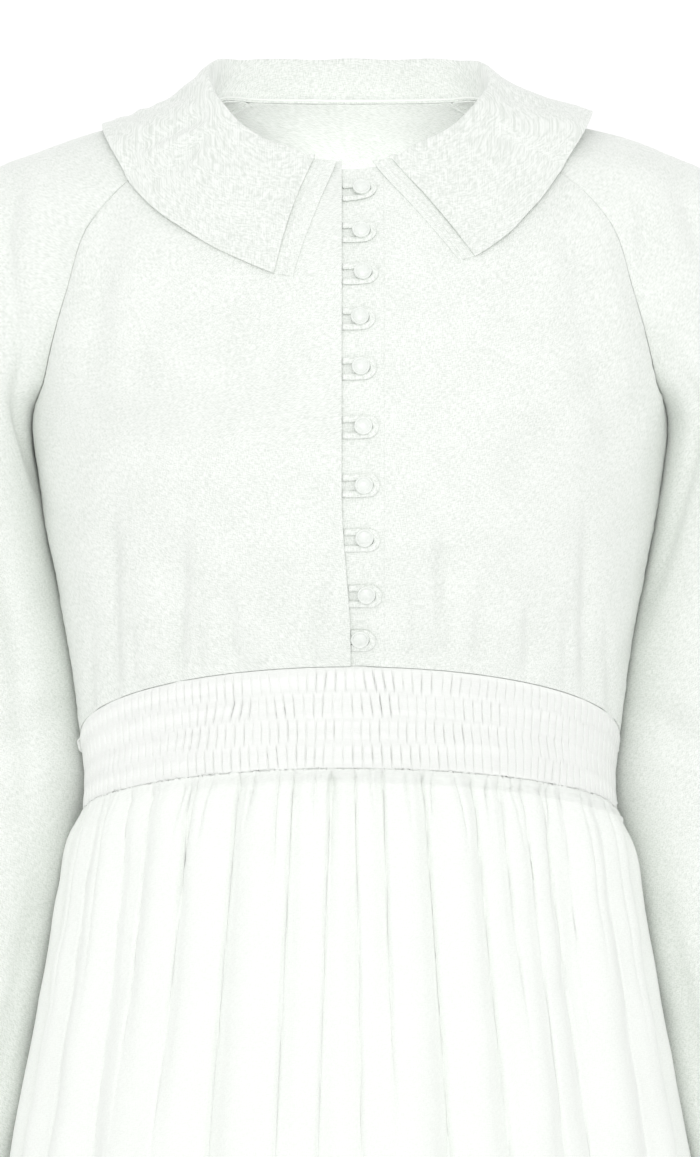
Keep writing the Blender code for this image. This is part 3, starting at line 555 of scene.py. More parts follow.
def bodice(share, way, side):
    """The bodice's outer surface, with its folds and with its edges parted from the sleeve and the other half."""
    share, way = np.broadcast_arrays(np.asarray(share, float), np.asarray(way, float))
    points = half_bodice(share, way, side)
    deep = fold_depth(points[..., 0], points[..., 2], FRONT_FOLDS if side < 0 else BACK_FOLDS)
    deep = deep * (1 - step(0.90, 1.0, np.abs(share))) * (1 - step(1.93, 2.0, way))
    points = points - unit(points * [1, 1, 0]) * deep[..., None]
    move = seam_move(way, side, False)
    move = np.where((share < 0)[..., None], move * [-1, 1, 1], move)
    return points + move * (np.abs(share) ** 6)[..., None]


def sleeve_depth(share, way, folds, rise=0.25, fall=0.7):
    """The depth of a sleeve's long troughs: each is a bell across its line, at full depth between the shares rise and
    fall of its length."""
    turn = np.degrees(share * np.radians(smooth(way, SLEEVE["way"], SLEEVE["turn"])))
    deep = np.zeros_like(turn)
    for way0, turn0, way1, turn1, half_turn, depth in folds:
        along = (way - way0) / (way1 - way0)
        line = turn0 + (turn1 - turn0) * along
        ends = step(-0.05, rise, along) * (1 - step(fall, 1.05, along))
        deep += depth * ends * bell(turn - line, half_turn)
    return deep


def sleeve(share, way, hand):
    """A sleeve's outer surface, with its long troughs. hand is 1 for the right and -1 for the left."""
    share, way = np.broadcast_arrays(np.asarray(share, float), np.asarray(way, float))
    points = plain_sleeve(share, way)
    deep = sleeve_depth(share, way, zip(*SLEEVE_FOLDS.values()))
    deep *= 1 - step(0.80, 0.97, np.abs(share))
    axis = plain_sleeve(np.zeros_like(way), way) + plain_sleeve(np.ones_like(way), way)
    points = points - unit(points - axis / 2) * deep[..., None]
    front, back = seam_move(way, -1, True), seam_move(way, 1, True)
    move = np.where((share > 0)[..., None], front, back)
    points = points + move * (np.abs(share) ** 6)[..., None]
    return points * [hand, 1, 1]


def body(angle, way, rows):
    """A section of the band or skirt: angle is 0 at the centre front, 90 at the side and 180 at the back."""
    angle, way = np.broadcast_arrays(np.radians(angle), way)
    half_width, side_y, side_z, front_y, front_z, back_y, back_z = np.moveaxis(
        columns(rows, way, *SECTION_NAMES.split()[1:]), -1, 0
    )
    in_front = np.cos(angle) > 0
    reach = np.abs(np.cos(angle))
    y = side_y + (np.where(in_front, front_y, back_y) - side_y) * reach
    z = side_z + (np.where(in_front, front_z, back_z) - side_z) * reach
    return np.stack([half_width * np.sin(angle), y, z], axis=-1)


def outward(points):
    """Level unit vectors away from the body's axis."""
    return unit(points * [1, 1.6, 0])


def skirt(angle, way, gathers, side):
    """The skirt's outer surface: an envelope with bell-shaped troughs that follow the gathers down to the hem."""
    angle, way = np.broadcast_arrays(np.asarray(angle, float), np.asarray(way, float))
    points = body(angle if side < 0 else 180 - angle, way, SKIRT)
    width = GATHER_WIDTH_TOP + (GATHER_WIDTH_HEM - GATHER_WIDTH_TOP) * np.sqrt(way)
    deep = np.zeros_like(way)
    for top, hem, top_depth, hem_depth, ends_at in zip(*gathers.values()):
        line = top + (hem - top) * way**0.8
        depth = top_depth * (1 - way) ** 2 + hem_depth * way**GATHER_GROWTH
        if hem_depth == 0:
            fades = 1 - step(0.4 * ends_at, ends_at, way)
            depth = (top_depth + FADING_GAIN * way**GATHER_GROWTH) * fades
        deep += depth * bell(angle - line, width)
    deep = deep * step(-0.01, 0.02, way) * (1 - step(86.5, 90, np.abs(angle)))
    return points - outward(points) * deep[..., None]


def yoke(ring, way):
    """The outer surface round the neck. ring is 0 at the centre front and 4 at the back, negative on the left."""
    ring, way = np.broadcast_arrays(np.asarray(ring, float), np.asarray(way, float))
    part = np.abs(ring)
    front = half_bodice(np.clip(part, 0, 1), way, -1)
    over = plain_sleeve(np.clip(2 - part, -1, 1), way)
    back = half_bodice(np.clip(4 - part, 0, 1), way, 1)
    points = np.where((part < 1)[..., None], front, np.where((part < 3)[..., None], over, back))
    return points * np.stack([np.where(ring < 0, -1.0, 1.0)] + [np.ones_like(part)] * 2, axis=-1)


def yoke_outward(ring, way):
    """The yoke's outward direction, averaged over a short way on either side so that seams don't crease it."""
    reach_ring, reach_way = 0.22, 0.05
    around = yoke(ring + reach_ring, way) - yoke(ring - reach_ring, way)
    around = np.where((np.abs(ring) > 3.75)[..., None], [-1.0, 0, 0], around)
    down = yoke(ring, way + reach_way) - yoke(ring, np.maximum(way - reach_way, 0))
    return unit(np.cross(down, around))


def collar(place, across):
    """The collar's seen face. place is -1 at the left front edge, 0 at the centre back and 1 at the right front
    edge; across is 0 at the neck seam and 1 at the outer edge, and the cloth turns over at about a third."""
    place, across = np.broadcast_arrays(np.asarray(place, float), np.asarray(across, float))
    hand = np.where(place < 0, LEFT, RIGHT)
    found = {}
    for name in COLLAR_NAMES.split()[1:]:
        left = smooth(1 - np.abs(place), COLLAR[LEFT]["round"], COLLAR[LEFT][name])
        right = smooth(1 - np.abs(place), COLLAR[RIGHT]["round"], COLLAR[RIGHT][name])
        found[name] = np.where(place < 0, left, right)
        # Both halves share one line round the back of the neck.
        found[name] += ((left + right) / 2 - found[name]) * (1 - step(0.0, 0.3, np.abs(place)))
    neck_ring, edge_ring = found["neck_ring"] * hand, found["edge_ring"] * hand
    neck = yoke(neck_ring, np.zeros_like(place))
    away = unit((neck - [0, -4, 0]) * [1, 1, 0])
    up = np.array([0.0, 0.0, 1.0])
    roll_up, roll_out = found["roll_up"][..., None], found["roll_out"][..., None]
    depth = (ROLL_DEPTH * (1 - 0.75 * step(0.88, 1.0, np.abs(place))))[..., None]

    def fall(share):
        """A line of the turned-down part, at this share of the way from the neck to the outer edge."""
        ring = neck_ring + (edge_ring - neck_ring) * share
        way = found["edge_way"] * share
        near_roll = (1 - share) ** ROLL_FALL
        belly = COLLAR_BELLY * math.sin(math.pi * share) * step(0.2, 0.7, np.abs(place))
        lift = found["lift"] * (1 - near_roll) + belly
        turned = (up * roll_up + away * (roll_out + depth)) * near_roll
        return yoke(ring, way) + yoke_outward(ring, way) * lift[..., None] + turned

    start = neck + up * (0.4 + SEAM_GAP)
    stand = neck + up * roll_up * 0.78 + away * roll_out * 0.35
    top = neck + up * (roll_up + 0.8) + away * (roll_out * 0.6 + 2.2)
    keys = np.array([0.0, 0.2, 0.32, 0.46, 0.64, 0.82, 1.0])
    shape = np.stack([start, stand, top, fall(0.13), fall(0.36), fall(0.68), fall(1.0)])
    low = np.clip(np.searchsorted(keys, across, side="right") - 1, 0, len(keys) - 2)
    slope = np.gradient(shape, keys, axis=0)
    span = (keys[low + 1] - keys[low])[..., None]
    t = (across[..., None] - keys[low][..., None]) / span
    ends = [np.take_along_axis(of, i[None, ..., None], axis=0)[0] for of in (shape, slope) for i in (low, low + 1)]
    return cubic(t, span, *ends)


def collar_strip(across, share, hand):
    """The strip past a front edge of the collar: across is 0 beside the collar and 1 at the strip's free edge."""
    free = COLLAR_STRIP[hand]
    rows = COLLAR[hand]
    neck_start = rows["neck_ring"][0] - STRIP_BESIDE
    end_start = rows["edge_ring"][0] - STRIP_BESIDE
    neck = neck_start + (free["neck_ring"] - neck_start) * across
    end = end_start + (free["end_ring"] - end_start) * across
    way = (rows["edge_way"][0] + (free["end_way"] - rows["edge_way"][0]) * across) * share
    ring = (neck + (end - neck) * share) * hand
    rise = STRIP_LIFT + STRIP_NECK_RISE * (1 - share) ** 3
    return yoke(ring, way) + yoke_outward(ring, way) * rise[..., None]


def front_share(x, way):
    """The share across the front at which a plain section has this x."""
    edge = half_bodice(np.ones_like(way), way, -1)[..., 0]
    turn = np.radians(smooth(way, BODICE["way"], BODICE["turn"]))
    return np.arcsin(np.clip(x / edge * np.sin(turn), -1, 1)) / turn


def left_edge_x(way):
    """The free edge of the left front, which drifts towards the centre near the waist."""
    return LEFT_EDGE_X + LEFT_EDGE_DRIFT * step(1.2, 1.9, way)


def front_normal(x, way):
    """The outward direction near the centre front."""
    a, b = 4.0, 0.02
    around = bodice(front_share(x + a, way), way, -1) - bodice(front_share(x - a, way), way, -1)
    down = bodice(front_share(x, way), way + b, -1) - bodice(front_share(x, way), way - b, -1)
    return unit(np.cross(down, around))


def stand_depth(x):
    """How far the button stand lies under the fronts' surface: a wall and a gap under the left front, rising until it
    is flush where the right front is seamed to it, and under that front beyond the seam."""
    rising = WALL + LAYER_GAP - (WALL + LAYER_GAP - STAND_FLUSH) * step(1.0, RIGHT_EDGE_X - 0.7, x)
    return rising + (FINE_WALL + 0.5 - STAND_FLUSH) * step(RIGHT_EDGE_X, RIGHT_EDGE_X + 0.35, x)


def stand_point(x, way):
    """The button stand's surface."""
    points = bodice(front_share(x, way), way, -1)
    return points - front_normal(x, way) * stand_depth(x)[..., None]


def way_at(z):
    """How far down the centre front a height lies."""
    ways = np.linspace(0, 2, 401)
    return np.interp(-z, -smooth(ways, BODICE["way"], BODICE["front_z"]), ways)


def stand_frame(x, z):
    """Points on the button stand, and the directions right, up and out at them."""
    x, z = np.broadcast_arrays(np.asarray(x, float), np.asarray(z, float))
    way = way_at(z)
    out = front_normal(x, way)
    right = unit(np.array([1.0, 0, 0]) - out * out[..., :1])
    return stand_point(x, way), right, np.cross(out, right), out


def softly(u, v, seed, pitch, count=16):
    """Slow unevenness of hung cloth, with a typical height of 1: a sum of plane waves of about this pitch in random
    directions and phases."""
    made = np.random.default_rng(seed)
    total = np.zeros(np.broadcast(u, v).shape)
    for _ in range(count):
        heading, phase, longer = (made.uniform(*span) for span in ((0, math.pi), (0, 2 * math.pi), (0.7, 1.5)))
        waves = 2 * math.pi / (pitch * longer)
        total += np.sin(waves * (u * math.cos(heading) + v * math.sin(heading)) + phase)
    return total / math.sqrt(count / 2)


def lengths(points):
    """Each point's length along its row from the left edge, and along its column from the top row."""
    along = np.linalg.norm(np.diff(points, axis=1), axis=-1)
    down = np.linalg.norm(np.diff(points, axis=0), axis=-1)
    u = np.concatenate([np.zeros_like(along[:, :1]), np.cumsum(along, axis=1)], axis=1)
    v = np.concatenate([np.zeros_like(down[:1]), np.cumsum(down, axis=0)], axis=0)
    return u, v


def normals(points):
    """The outward direction of a grid at each point: down the column crossed with along the row."""
    return unit(np.cross(np.gradient(points, axis=0), np.gradient(points, axis=1)))


def raised(points, height):
    """The grid moved outwards along its own normals by a height at each point."""
    return points + normals(points) * height[..., None]


def edge_distances(points):
    """How far each point lies from the left, right, top and bottom edges of its grid, measured on the cloth."""
    u, v = lengths(points)
    return u, u[:, -1:] - u, v, v[-1:] - v


def worked(points, seed, seams="lrtb", slow=0.35, fine=0.10, still=1.0):
    """A panel with the slow unevenness of cloth, its seamed edges (l, r, t, b) rolled under into a shallow valley and
    puckered a little along the stitches. still, from 0 to 1, keeps the cloth even where other cloth lies on it."""
    u, v = lengths(points)
    away = dict(zip("lrtb", edge_distances(points)))
    nearest = np.minimum.reduce(list(away.values()))
    calm = step(0.0, 9.0, nearest)
    height = still * calm * (slow * softly(u, v, seed, 62) + fine * softly(u, v, seed + 1, 17))
    for seam in seams:
        along = v if seam in "lr" else u
        pucker = 0.22 * softly(along, away[seam] * 0.12, seed + 2, 9, 9)
        height += -SEAM_ROLL * bell(away[seam], 1.5) + pucker * bell(away[seam] - 4.5, 4.0)
    return raised(points, height)


def edged(points, inset):
    """The grid with one more line of points close inside each of its edges, which keeps the rim's rounded shading
    on the rim."""

    def near(edge, inner):
        """The line a short way in from an edge, towards the next line."""
        ahead = inner - edge
        return edge + unit(ahead) * np.minimum(inset, 0.4 * np.linalg.norm(ahead, axis=-1))[..., None]

    for turn in (0, 1):
        grid = points.swapaxes(0, turn)
        first, last = near(grid[0], grid[1]), near(grid[-1], grid[-2])
        points = np.concatenate([grid[:1], first[None], grid[1:-1], last[None], grid[-1:]]).swapaxes(0, turn)
    return points


def tucked(points, side, reach, under, share=None):
    """The panel with an allowance turned in along one side (l, r, t or b): two more lines of points that go on past
    the seam and lie under the neighbour, so that the seam is a shallow groove and not a slit. share, from 0 to 1
    along the side, scales it."""
    upright, flipped = side in "tb", side in "lt"

    def faced(grid):
        """The grid with this side as its last column."""
        grid = grid.swapaxes(0, 1) if upright else grid
        return grid[:, ::-1] if flipped else grid

    turned, out = faced(points), faced(normals(points))[:, -1]
    edge = turned[:, -1]
    ahead = unit(edge - turned[:, -2])
    part = np.full(len(edge), 1.0) if share is None else 0.1 + 0.9 * np.asarray(share, float).ravel()
    part = part[:, None]
    fold = edge + ahead * RIM_INSET * part - out * under * 0.8 * part
    end = edge + ahead * reach * part - out * under * part
    near = edge - ahead * RIM_INSET
    grown = np.concatenate([turned[:, :-1], near[:, None], edge[:, None], fold[:, None], end[:, None]], axis=1)
    grown = grown[:, ::-1] if flipped else grown
    return grown.swapaxes(0, 1) if upright else grown


def in_scene(name, data):
    """A new object in the scene for its mesh, lamp or camera."""
    made = bpy.data.objects.new(name, data)
    bpy.context.scene.collection.objects.link(made)
    return made


def make_mesh(name, points, faces, finish, uv=None):
    """A mesh from points in millimetres and faces, with its material and the weave's own coordinates in metres."""
    mesh = bpy.data.meshes.new(name)
    mesh.from_pydata(np.asarray(points).reshape(-1, 3) * MM, [], faces)
    mesh.materials.append(finish)
    if uv is not None:
        weave = mesh.uv_layers.new(name="weave")
        corners = np.empty(len(mesh.loops), np.int32)
        mesh.loops.foreach_get("vertex_index", corners)
        weave.data.foreach_set("uv", (uv.reshape(-1, 2)[corners] * MM).ravel().astype(np.float32))
    mesh.shade_smooth()
    return in_scene(name, mesh)


def grid_faces(across, down, closed=False):
    """Quads of a grid whose points run across first. They face outwards when across runs to the right seen from
    outside."""
    wide = across if closed else across + 1
    left = np.arange(across)
    right = (left + 1) % wide if closed else left + 1
    row = np.arange(down)[:, None] * wide
    quads = np.stack([row + left, row + wide + left, row + wide + right, row + right], axis=-1)
    return quads.reshape(-1, 4)


def tube_faces(around, along):
    """Faces of a closed tube of so many points around, with its two end caps, along a path of so many points."""
    first, last = list(range(around))[::-1], list(range((along - 1) * around, along * around))
    return grid_faces(around, along - 1, closed=True)[:, ::-1].tolist() + [first, last]


def settle(piece, slot_name, *nodes):
    """A finished piece rides on the gown's one body and replaces its solids, which it hides. slot_name is not used."""
    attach(piece, "root")
    if nodes:
        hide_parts(*nodes)
    return piece


def panel(node, points, wall, finish, outwards=False, rounded=0.0, weave=None):
    """A panel of cloth: a grid thickened inwards, or outwards where the points are its under side, with its rim
    rounded where it shows. Its weave follows its lengths, or else the two numbers that weave gives for a point."""
    points = edged(points, RIM_INSET + rounded)
    rows, wide = points.shape[:2]
    uv = np.stack(lengths(points) if weave is None else weave(points), axis=-1)
    made = make_mesh(f"{node}_cloth", points, grid_faces(wide - 1, rows - 1).tolist(), finish, uv)
    thick = made.modifiers.new("Cloth thickness", "SOLIDIFY")
    thick.thickness = wall * MM
    thick.offset = 1.0 if outwards else -1.0
    if rounded:
        rim = made.modifiers.new("Soft rim", "BEVEL")
        rim.width = rounded * MM
        rim.segments = 2
        rim.limit_method = "ANGLE"
        rim.angle_limit = math.radians(55)
    return settle(made, "white_cotton", node)


def declare(piece, wide, long, area, held, rests_on):
    """Turns the names of the panels that a piece rests on into their cloth names and does nothing more with them;
    piece, wide, long, area and held are not used.
    """
    rests_on = [f"{name}_cloth" for name in rests_on.split()]


def stitches(name, path, outwards, finish, pitch=3.0, long=2.2, thick=0.42):
    """A row of stitches along a path: each is a small spindle of two five-sided rings between two points, half sunk in
    the cloth, at even lengths of the path."""
    run = np.concatenate([[0], np.cumsum(np.linalg.norm(np.diff(path, axis=0), axis=-1))])
    at = np.arange(pitch / 2, run[-1] - pitch / 2, pitch)
    middle = np.stack([np.interp(at, run, path[:, i]) for i in range(3)], axis=-1)
    ahead = np.stack([np.interp(at + 0.5, run, path[:, i]) for i in range(3)], axis=-1)
    along = unit(ahead - middle)
    out = unit(np.stack([np.interp(at, run, outwards[:, i]) for i in range(3)], axis=-1))
    side = unit(np.cross(out, along))
    sides = 5
    turn = np.linspace(0, 2 * math.pi, sides, endpoint=False)
    ring = side[:, None] * np.cos(turn)[:, None] + out[:, None] * np.sin(turn)[:, None]
    reach = along[:, None] * long * 0.3
    first = middle[:, None] - reach + ring * thick / 2
    second = middle[:, None] + reach + ring * thick / 2
    ends = np.stack([middle - along * long / 2, middle + along * long / 2], axis=1) - out[:, None] * thick * 0.3
    points = np.concatenate([first, second, ends], axis=1)
    each = points.shape[1]
    a = np.arange(sides)
    b = (a + 1) % sides
    tris = np.concatenate([
        np.stack([a, b, a + sides], -1), np.stack([b, b + sides, a + sides], -1),
        np.stack([b, a, np.full(sides, 2 * sides)], -1),
        np.stack([a + sides, b + sides, np.full(sides, 2 * sides + 1)], -1),
    ])
    faces = tris[None] + (np.arange(len(middle)) * each)[:, None, None]
    return settle(make_mesh(name, points, faces.reshape(-1, 3).tolist(), finish), "white_cotton")


def seam_roll(name, path, outwards, finish, thick=1.7):
    """A rounded seam edge along a path: an eight-sided tube, half sunk in the cloth, that thins out at its ends."""
    along = unit(np.gradient(path, axis=0))
    side = unit(np.cross(outwards, along))
    turn = np.linspace(0, 2 * math.pi, 8, endpoint=False)
    wide = thick / 2 * np.sin(np.linspace(0.03, math.pi - 0.03, len(path))) ** 0.25
    ring = side[:, None] * np.cos(turn)[:, None] + outwards[:, None] * np.sin(turn)[:, None]
    points = path[:, None] + ring * wide[:, None, None]
    return settle(make_mesh(name, points, tube_faces(len(turn), len(path)), finish), "white_cotton")


def pinches(u, down, seed, count, span, depth, width, reach):
    """Small gathers that start at a drawn-in seam: bells across the seam, each fading with the distance from it.
    u runs along the seam over span, down is the distance from it, and the ranges are depth, width and reach."""
    made = np.random.default_rng(seed)
    total = np.zeros(np.broadcast(u, down).shape)
    for place in np.linspace(*span, count):
        at = place + made.normal(0, (span[1] - span[0]) / count * 0.22)
        lean = made.normal(0, 0.03)
        deep = made.uniform(*depth) * bell(u - at - lean * down, made.uniform(*width) * (1 + down / 70))
        total += deep * np.exp(-down / made.uniform(*reach))
    return total


def material(name, **values):
    """A new material with these values on its shader: the material, its node tree and its shader."""
    made = bpy.data.materials.new(name)
    made.use_nodes = True
    shader = made.node_tree.nodes["Principled BSDF"]
    for socket, value in values.items():
        shader.inputs[socket.replace("_", " ")].default_value = value
    return made, made.node_tree, shader


def node(tree, kind, vector=None, **values):
    """A new node with these settings and socket values, which may read its vector from another node's socket."""
    new = tree.nodes.new(kind)
    for key, value in values.items():
        if hasattr(new, key):
            setattr(new, key, value)
        else:
            new.inputs[key.replace("_", " ")].default_value = value
    if vector is not None:
        tree.links.new(vector, new.inputs["Vector"])
    return new


def joined(tree, operation, a, b=None):
    """The result of a sum on two sockets or numbers."""
    new = node(tree, "ShaderNodeMath", operation=operation)
    for socket, value in zip(new.inputs, (a, b)):
        if isinstance(value, float):
            socket.default_value = value
        elif value is not None:
            tree.links.new(value, socket)
    return new.outputs[0]


def mixed(tree, *parts):
    """The sum of sockets, each times its share."""
    total = None
    for socket, share in parts:
        part = joined(tree, "MULTIPLY", socket, share)
        total = part if total is None else joined(tree, "ADD", total, part)
    return total


def tinted(tree, shader, value, deep, pale, low=0.0, high=1.0):
    """Gives the shader a colour that goes from deep to pale as a value goes from low to high."""
    tint = tree.nodes.new("ShaderNodeValToRGB")
    for element, place, colour in zip(tint.color_ramp.elements, (low, high), (deep, pale)):
        element.position, element.color = place, (*colour, 1)
    tree.links.new(value, tint.inputs[0])
    tree.links.new(tint.outputs[0], shader.inputs["Base Color"])


def cotton(name, pale, deep, wrinkle=1.0, grain=1.0):
    """Plain-weave cotton. Fine threads go over and under in the bump, thicker slub threads run both ways in colour
    and bump, and a slow unevenness of the cloth lies under them."""
    made, tree, shader = material(
        name, Roughness=0.88, Specular_IOR_Level=0.25, Sheen_Weight=0.40, Sheen_Roughness=0.5
    )
    weave = node(tree, "ShaderNodeUVMap", uv_map="weave").outputs[0]
    spread = node(tree, "ShaderNodeSeparateXYZ", weave)
    waves = 2 * math.pi / (THREAD_PITCH * MM)
    threads = [joined(tree, "SINE", joined(tree, "MULTIPLY", spread.outputs[i], waves)) for i in (0, 1)]
    over_under = joined(tree, "MULTIPLY", *threads)

    slubs = []
    for across, down, shift in SLUBS:
        scale = (1 / across / MM, 1 / down / MM, 1 / MM)
        stretched = node(tree, "ShaderNodeMapping", weave, Scale=scale, Location=(shift, shift, 0))
        noise = node(tree, "ShaderNodeTexNoise", stretched.outputs[0], Scale=1.0, Detail=2.0, Roughness=0.6)
        slubs.append(noise.outputs[0])
    slub = mixed(tree, (slubs[0], 0.5), (slubs[1], 0.5))

    placed = node(tree, "ShaderNodeTexCoord").outputs["Object"]
    slow = node(tree, "ShaderNodeTexNoise", placed, Scale=38.0, Detail=3.0, Roughness=0.55).outputs[0]
    tinted(tree, shader, mixed(tree, (slub, 0.92), (slow, 0.08)), deep, pale, 0.42, 0.56)

    height = mixed(tree, (over_under, 0.10), (slub, 1.5 * grain), (slow, 0.8 * wrinkle))
    bump = node(tree, "ShaderNodeBump", Strength=0.7, Distance=0.0004)
    tree.links.new(height, bump.inputs["Height"])
    tree.links.new(bump.outputs[0], shader.inputs["Normal"])
    return made


def pearly(name):
    """White pearl plastic: a faint layered clouding in the colour, and a smooth clear coat."""
    made, tree, shader = material(name, Roughness=0.28, Coat_Weight=0.5, Coat_Roughness=0.12)
    placed = node(tree, "ShaderNodeTexCoord").outputs["Object"]
    cloud = node(tree, "ShaderNodeTexNoise", placed, Scale=260.0, Detail=2.0, Distortion=1.2)
    tinted(tree, shader, cloud.outputs[0], (0.74, 0.78, 0.735), (0.94, 0.965, 0.935))
    return made


def rows_between(first, last, count, crowd=1.0):
    """Places from first to last, crowded towards the first by a power."""
    return (first + (last - first) * np.linspace(0, 1, count) ** crowd)[:, None]


def drawn_in(points, way, seed, count, deepest, longest):
    """Lets a bodice panel down to meet the waistband, and gives the depth of the small gathers above the band."""
    points[..., 2] -= BAND_REACH * step(1.97, 2.0, way)
    above_band = edge_distances(points)[3]
    drawn = pinches(points[..., 0], above_band, seed, count, (-172, 172), (0.3, deepest), (1.8, 3.4), (9, longest))
    return drawn * step(0.5, 4.0, above_band)


def front_panel(left):
    """A bodice front: its section from its free edge or the stand's seam out to the raglan and side seams, with the
    small folds that run up from the waistband."""
    way = rows_between(0, 2, FRONT_GRID[0])
    share = np.linspace(0, 1, FRONT_GRID[1])[None, :]
    if left:
        end = front_share(left_edge_x(way), way)
        points = bodice(-1 + share * (end + 1), way, -1)
    else:
        start = front_share(np.full_like(way, RIGHT_EDGE_X), way)
        points = bodice(start + share * (1 - start), way, -1)
    drawn = drawn_in(points, way, 21, 46, 1.3, 30)
    x, z = points[..., 0], points[..., 2]
    height = -fold_depth(x, z, SMALL_FRONT_FOLDS) - drawn
    still = 1 - 0.9 * (1 - step(30, 70, np.abs(x))) * step(-135, -105, z)
    points = worked(raised(points, height), 31 if left else 32, "ltb" if left else "rtb", still=still)
    return tucked(points, "l" if left else "r", *FRONT_TUCK)


def back_panel():
    """The bodice back: its whole section, drawn in above the waistband."""
    way = rows_between(0, 2, BACK_GRID[0])
    share = np.linspace(1, -1, BACK_GRID[1])[None, :]
    points = bodice(share, way, 1)
    points = worked(raised(points, -drawn_in(points, way, 22, 44, 1.4, 34)), 33)
    below_arm = step(1.02, 1.10, way)
    return tucked(tucked(points, "l", *TUCK, below_arm), "r", *TUCK, below_arm)


def sleeve_panel(hand):
    """A sleeve from its neck end to the wrist, with the long folds of the arm and small drags from the underarm."""
    upper, lower, wide = SLEEVE_GRID
    way = np.concatenate([np.linspace(0, 1.1, upper), np.linspace(1.1, 2, lower)[1:]])[:, None]
    share = np.linspace(1, -1, wide)[None, :]
    points = sleeve(share, way, RIGHT)
    own_folds = [row for which, *row in zip(*SMALL_SLEEVE_FOLDS.values()) if which != -hand]
    deep = sleeve_depth(share, way, own_folds, 0.3, 0.65) * (1 - step(0.84, 0.98, np.abs(share)))
    points = worked(raised(points, -deep), 41 if hand > 0 else 42, "lrt")
    yoke_part = 1 - step(0.90, 0.98, way)
    points = tucked(points, "l", *TUCK, np.maximum(yoke_part, step(1.03, 1.10, way)))
    points = tucked(points, "r", *TUCK, yoke_part)
    return points if hand > 0 else (points * [-1, 1, 1])[:, ::-1]


def collar_panel():
    """The collar's seen face on a fine grid, with creases that spread from where it turns over at the shoulders."""
    high, wide = COLLAR_GRID
    place, across = np.broadcast_arrays(np.linspace(1, -1, wide)[None, :], np.linspace(0, 1, high)[:, None])
    points = collar(place, across) - np.array([0, 0, 0.5]) * (1 - step(0, 0.15, across))[..., None]
    u, v = lengths(points)
    for end, hand in ((0, RIGHT), (-1, LEFT)):
        edge = points[:, end]
        line = edge[0] + (edge[-1] - edge[0]) * (v[:, end] / v[-1, end])[:, None]
        shift = (line - edge) * [1, 0, 1] * 0.7
        points = points + step(0.84, 1.0, place * hand)[..., None] * shift[:, None]
    deep = np.zeros_like(place)
    for place0, across0, place1, across1, half_width, depth in zip(*COLLAR_CREASES.values()):
        run = np.array([place1 - place0, (across1 - across0) * 0.30])
        at = np.stack([place - place0, (across - across0) * 0.30], axis=-1)
        along = (at @ run) / (run @ run)
        off = (at[..., 0] * run[1] - at[..., 1] * run[0]) / np.linalg.norm(run)
        deep += depth * step(-0.05, 0.25, along) * (1 - step(0.6, 1.05, along)) * bell(off, half_width)
    left, right, _, outer = edge_distances(points)
    free = np.minimum(np.minimum(left, right), outer)
    ridge = 0.25 * bell(free - 1.0, 1.6) - 0.22 * bell(free - 6.5, 0.8) * step(0.5, 0.62, across)
    ridge += 0.5 * bell(v - 1.7, 1.2) * (1 - step(0.1, 0.2, across))
    ridge += np.where(place < 0, 2.0, 1.1) * step(0.90, 0.995, np.abs(place)) * (1 - step(0.55, 1.0, across))
    slow = 0.30 * softly(u, v, 51, 40) * step(0, 6, free)
    return raised(points, slow + ridge - deep)


def collar_weave(points):
    """Where the collar's threads run: across the gown, and down its front or back."""
    return points[..., 0], points[..., 2] - points[..., 1]


def collar_row(face, down, short):
    """The points and normals of the collar's row this far below its neck seam at the centre back, without so many
    points at each end."""
    row = int(np.argmin(np.abs(lengths(face)[1][:, face.shape[1] // 2] - down)))
    return face[row, short:-short], normals(face)[row, short:-short]


def strip_panel(hand):
    """A collar's front strip, from under the collar to its free edge, with the ridge of its folded edge along it."""
    across, share = np.broadcast_arrays(np.linspace(-0.30, 1, 27)[None, :], np.linspace(0.02, 1, 60)[:, None])
    points = collar_strip(across, share, hand)
    ridge = 0.75 * bell(across - STRIP_RIDGE[hand], 0.07) - 0.45 * bell(across - STRIP_RIDGE[hand] - 0.14, 0.06)
    ridge -= 0.75 + 0.3 * (1 - step(-0.05, 0.2, across))
    points, ridge = (points, ridge) if hand < 0 else (points[:, ::-1], ridge[:, ::-1])
    return raised(points, ridge)


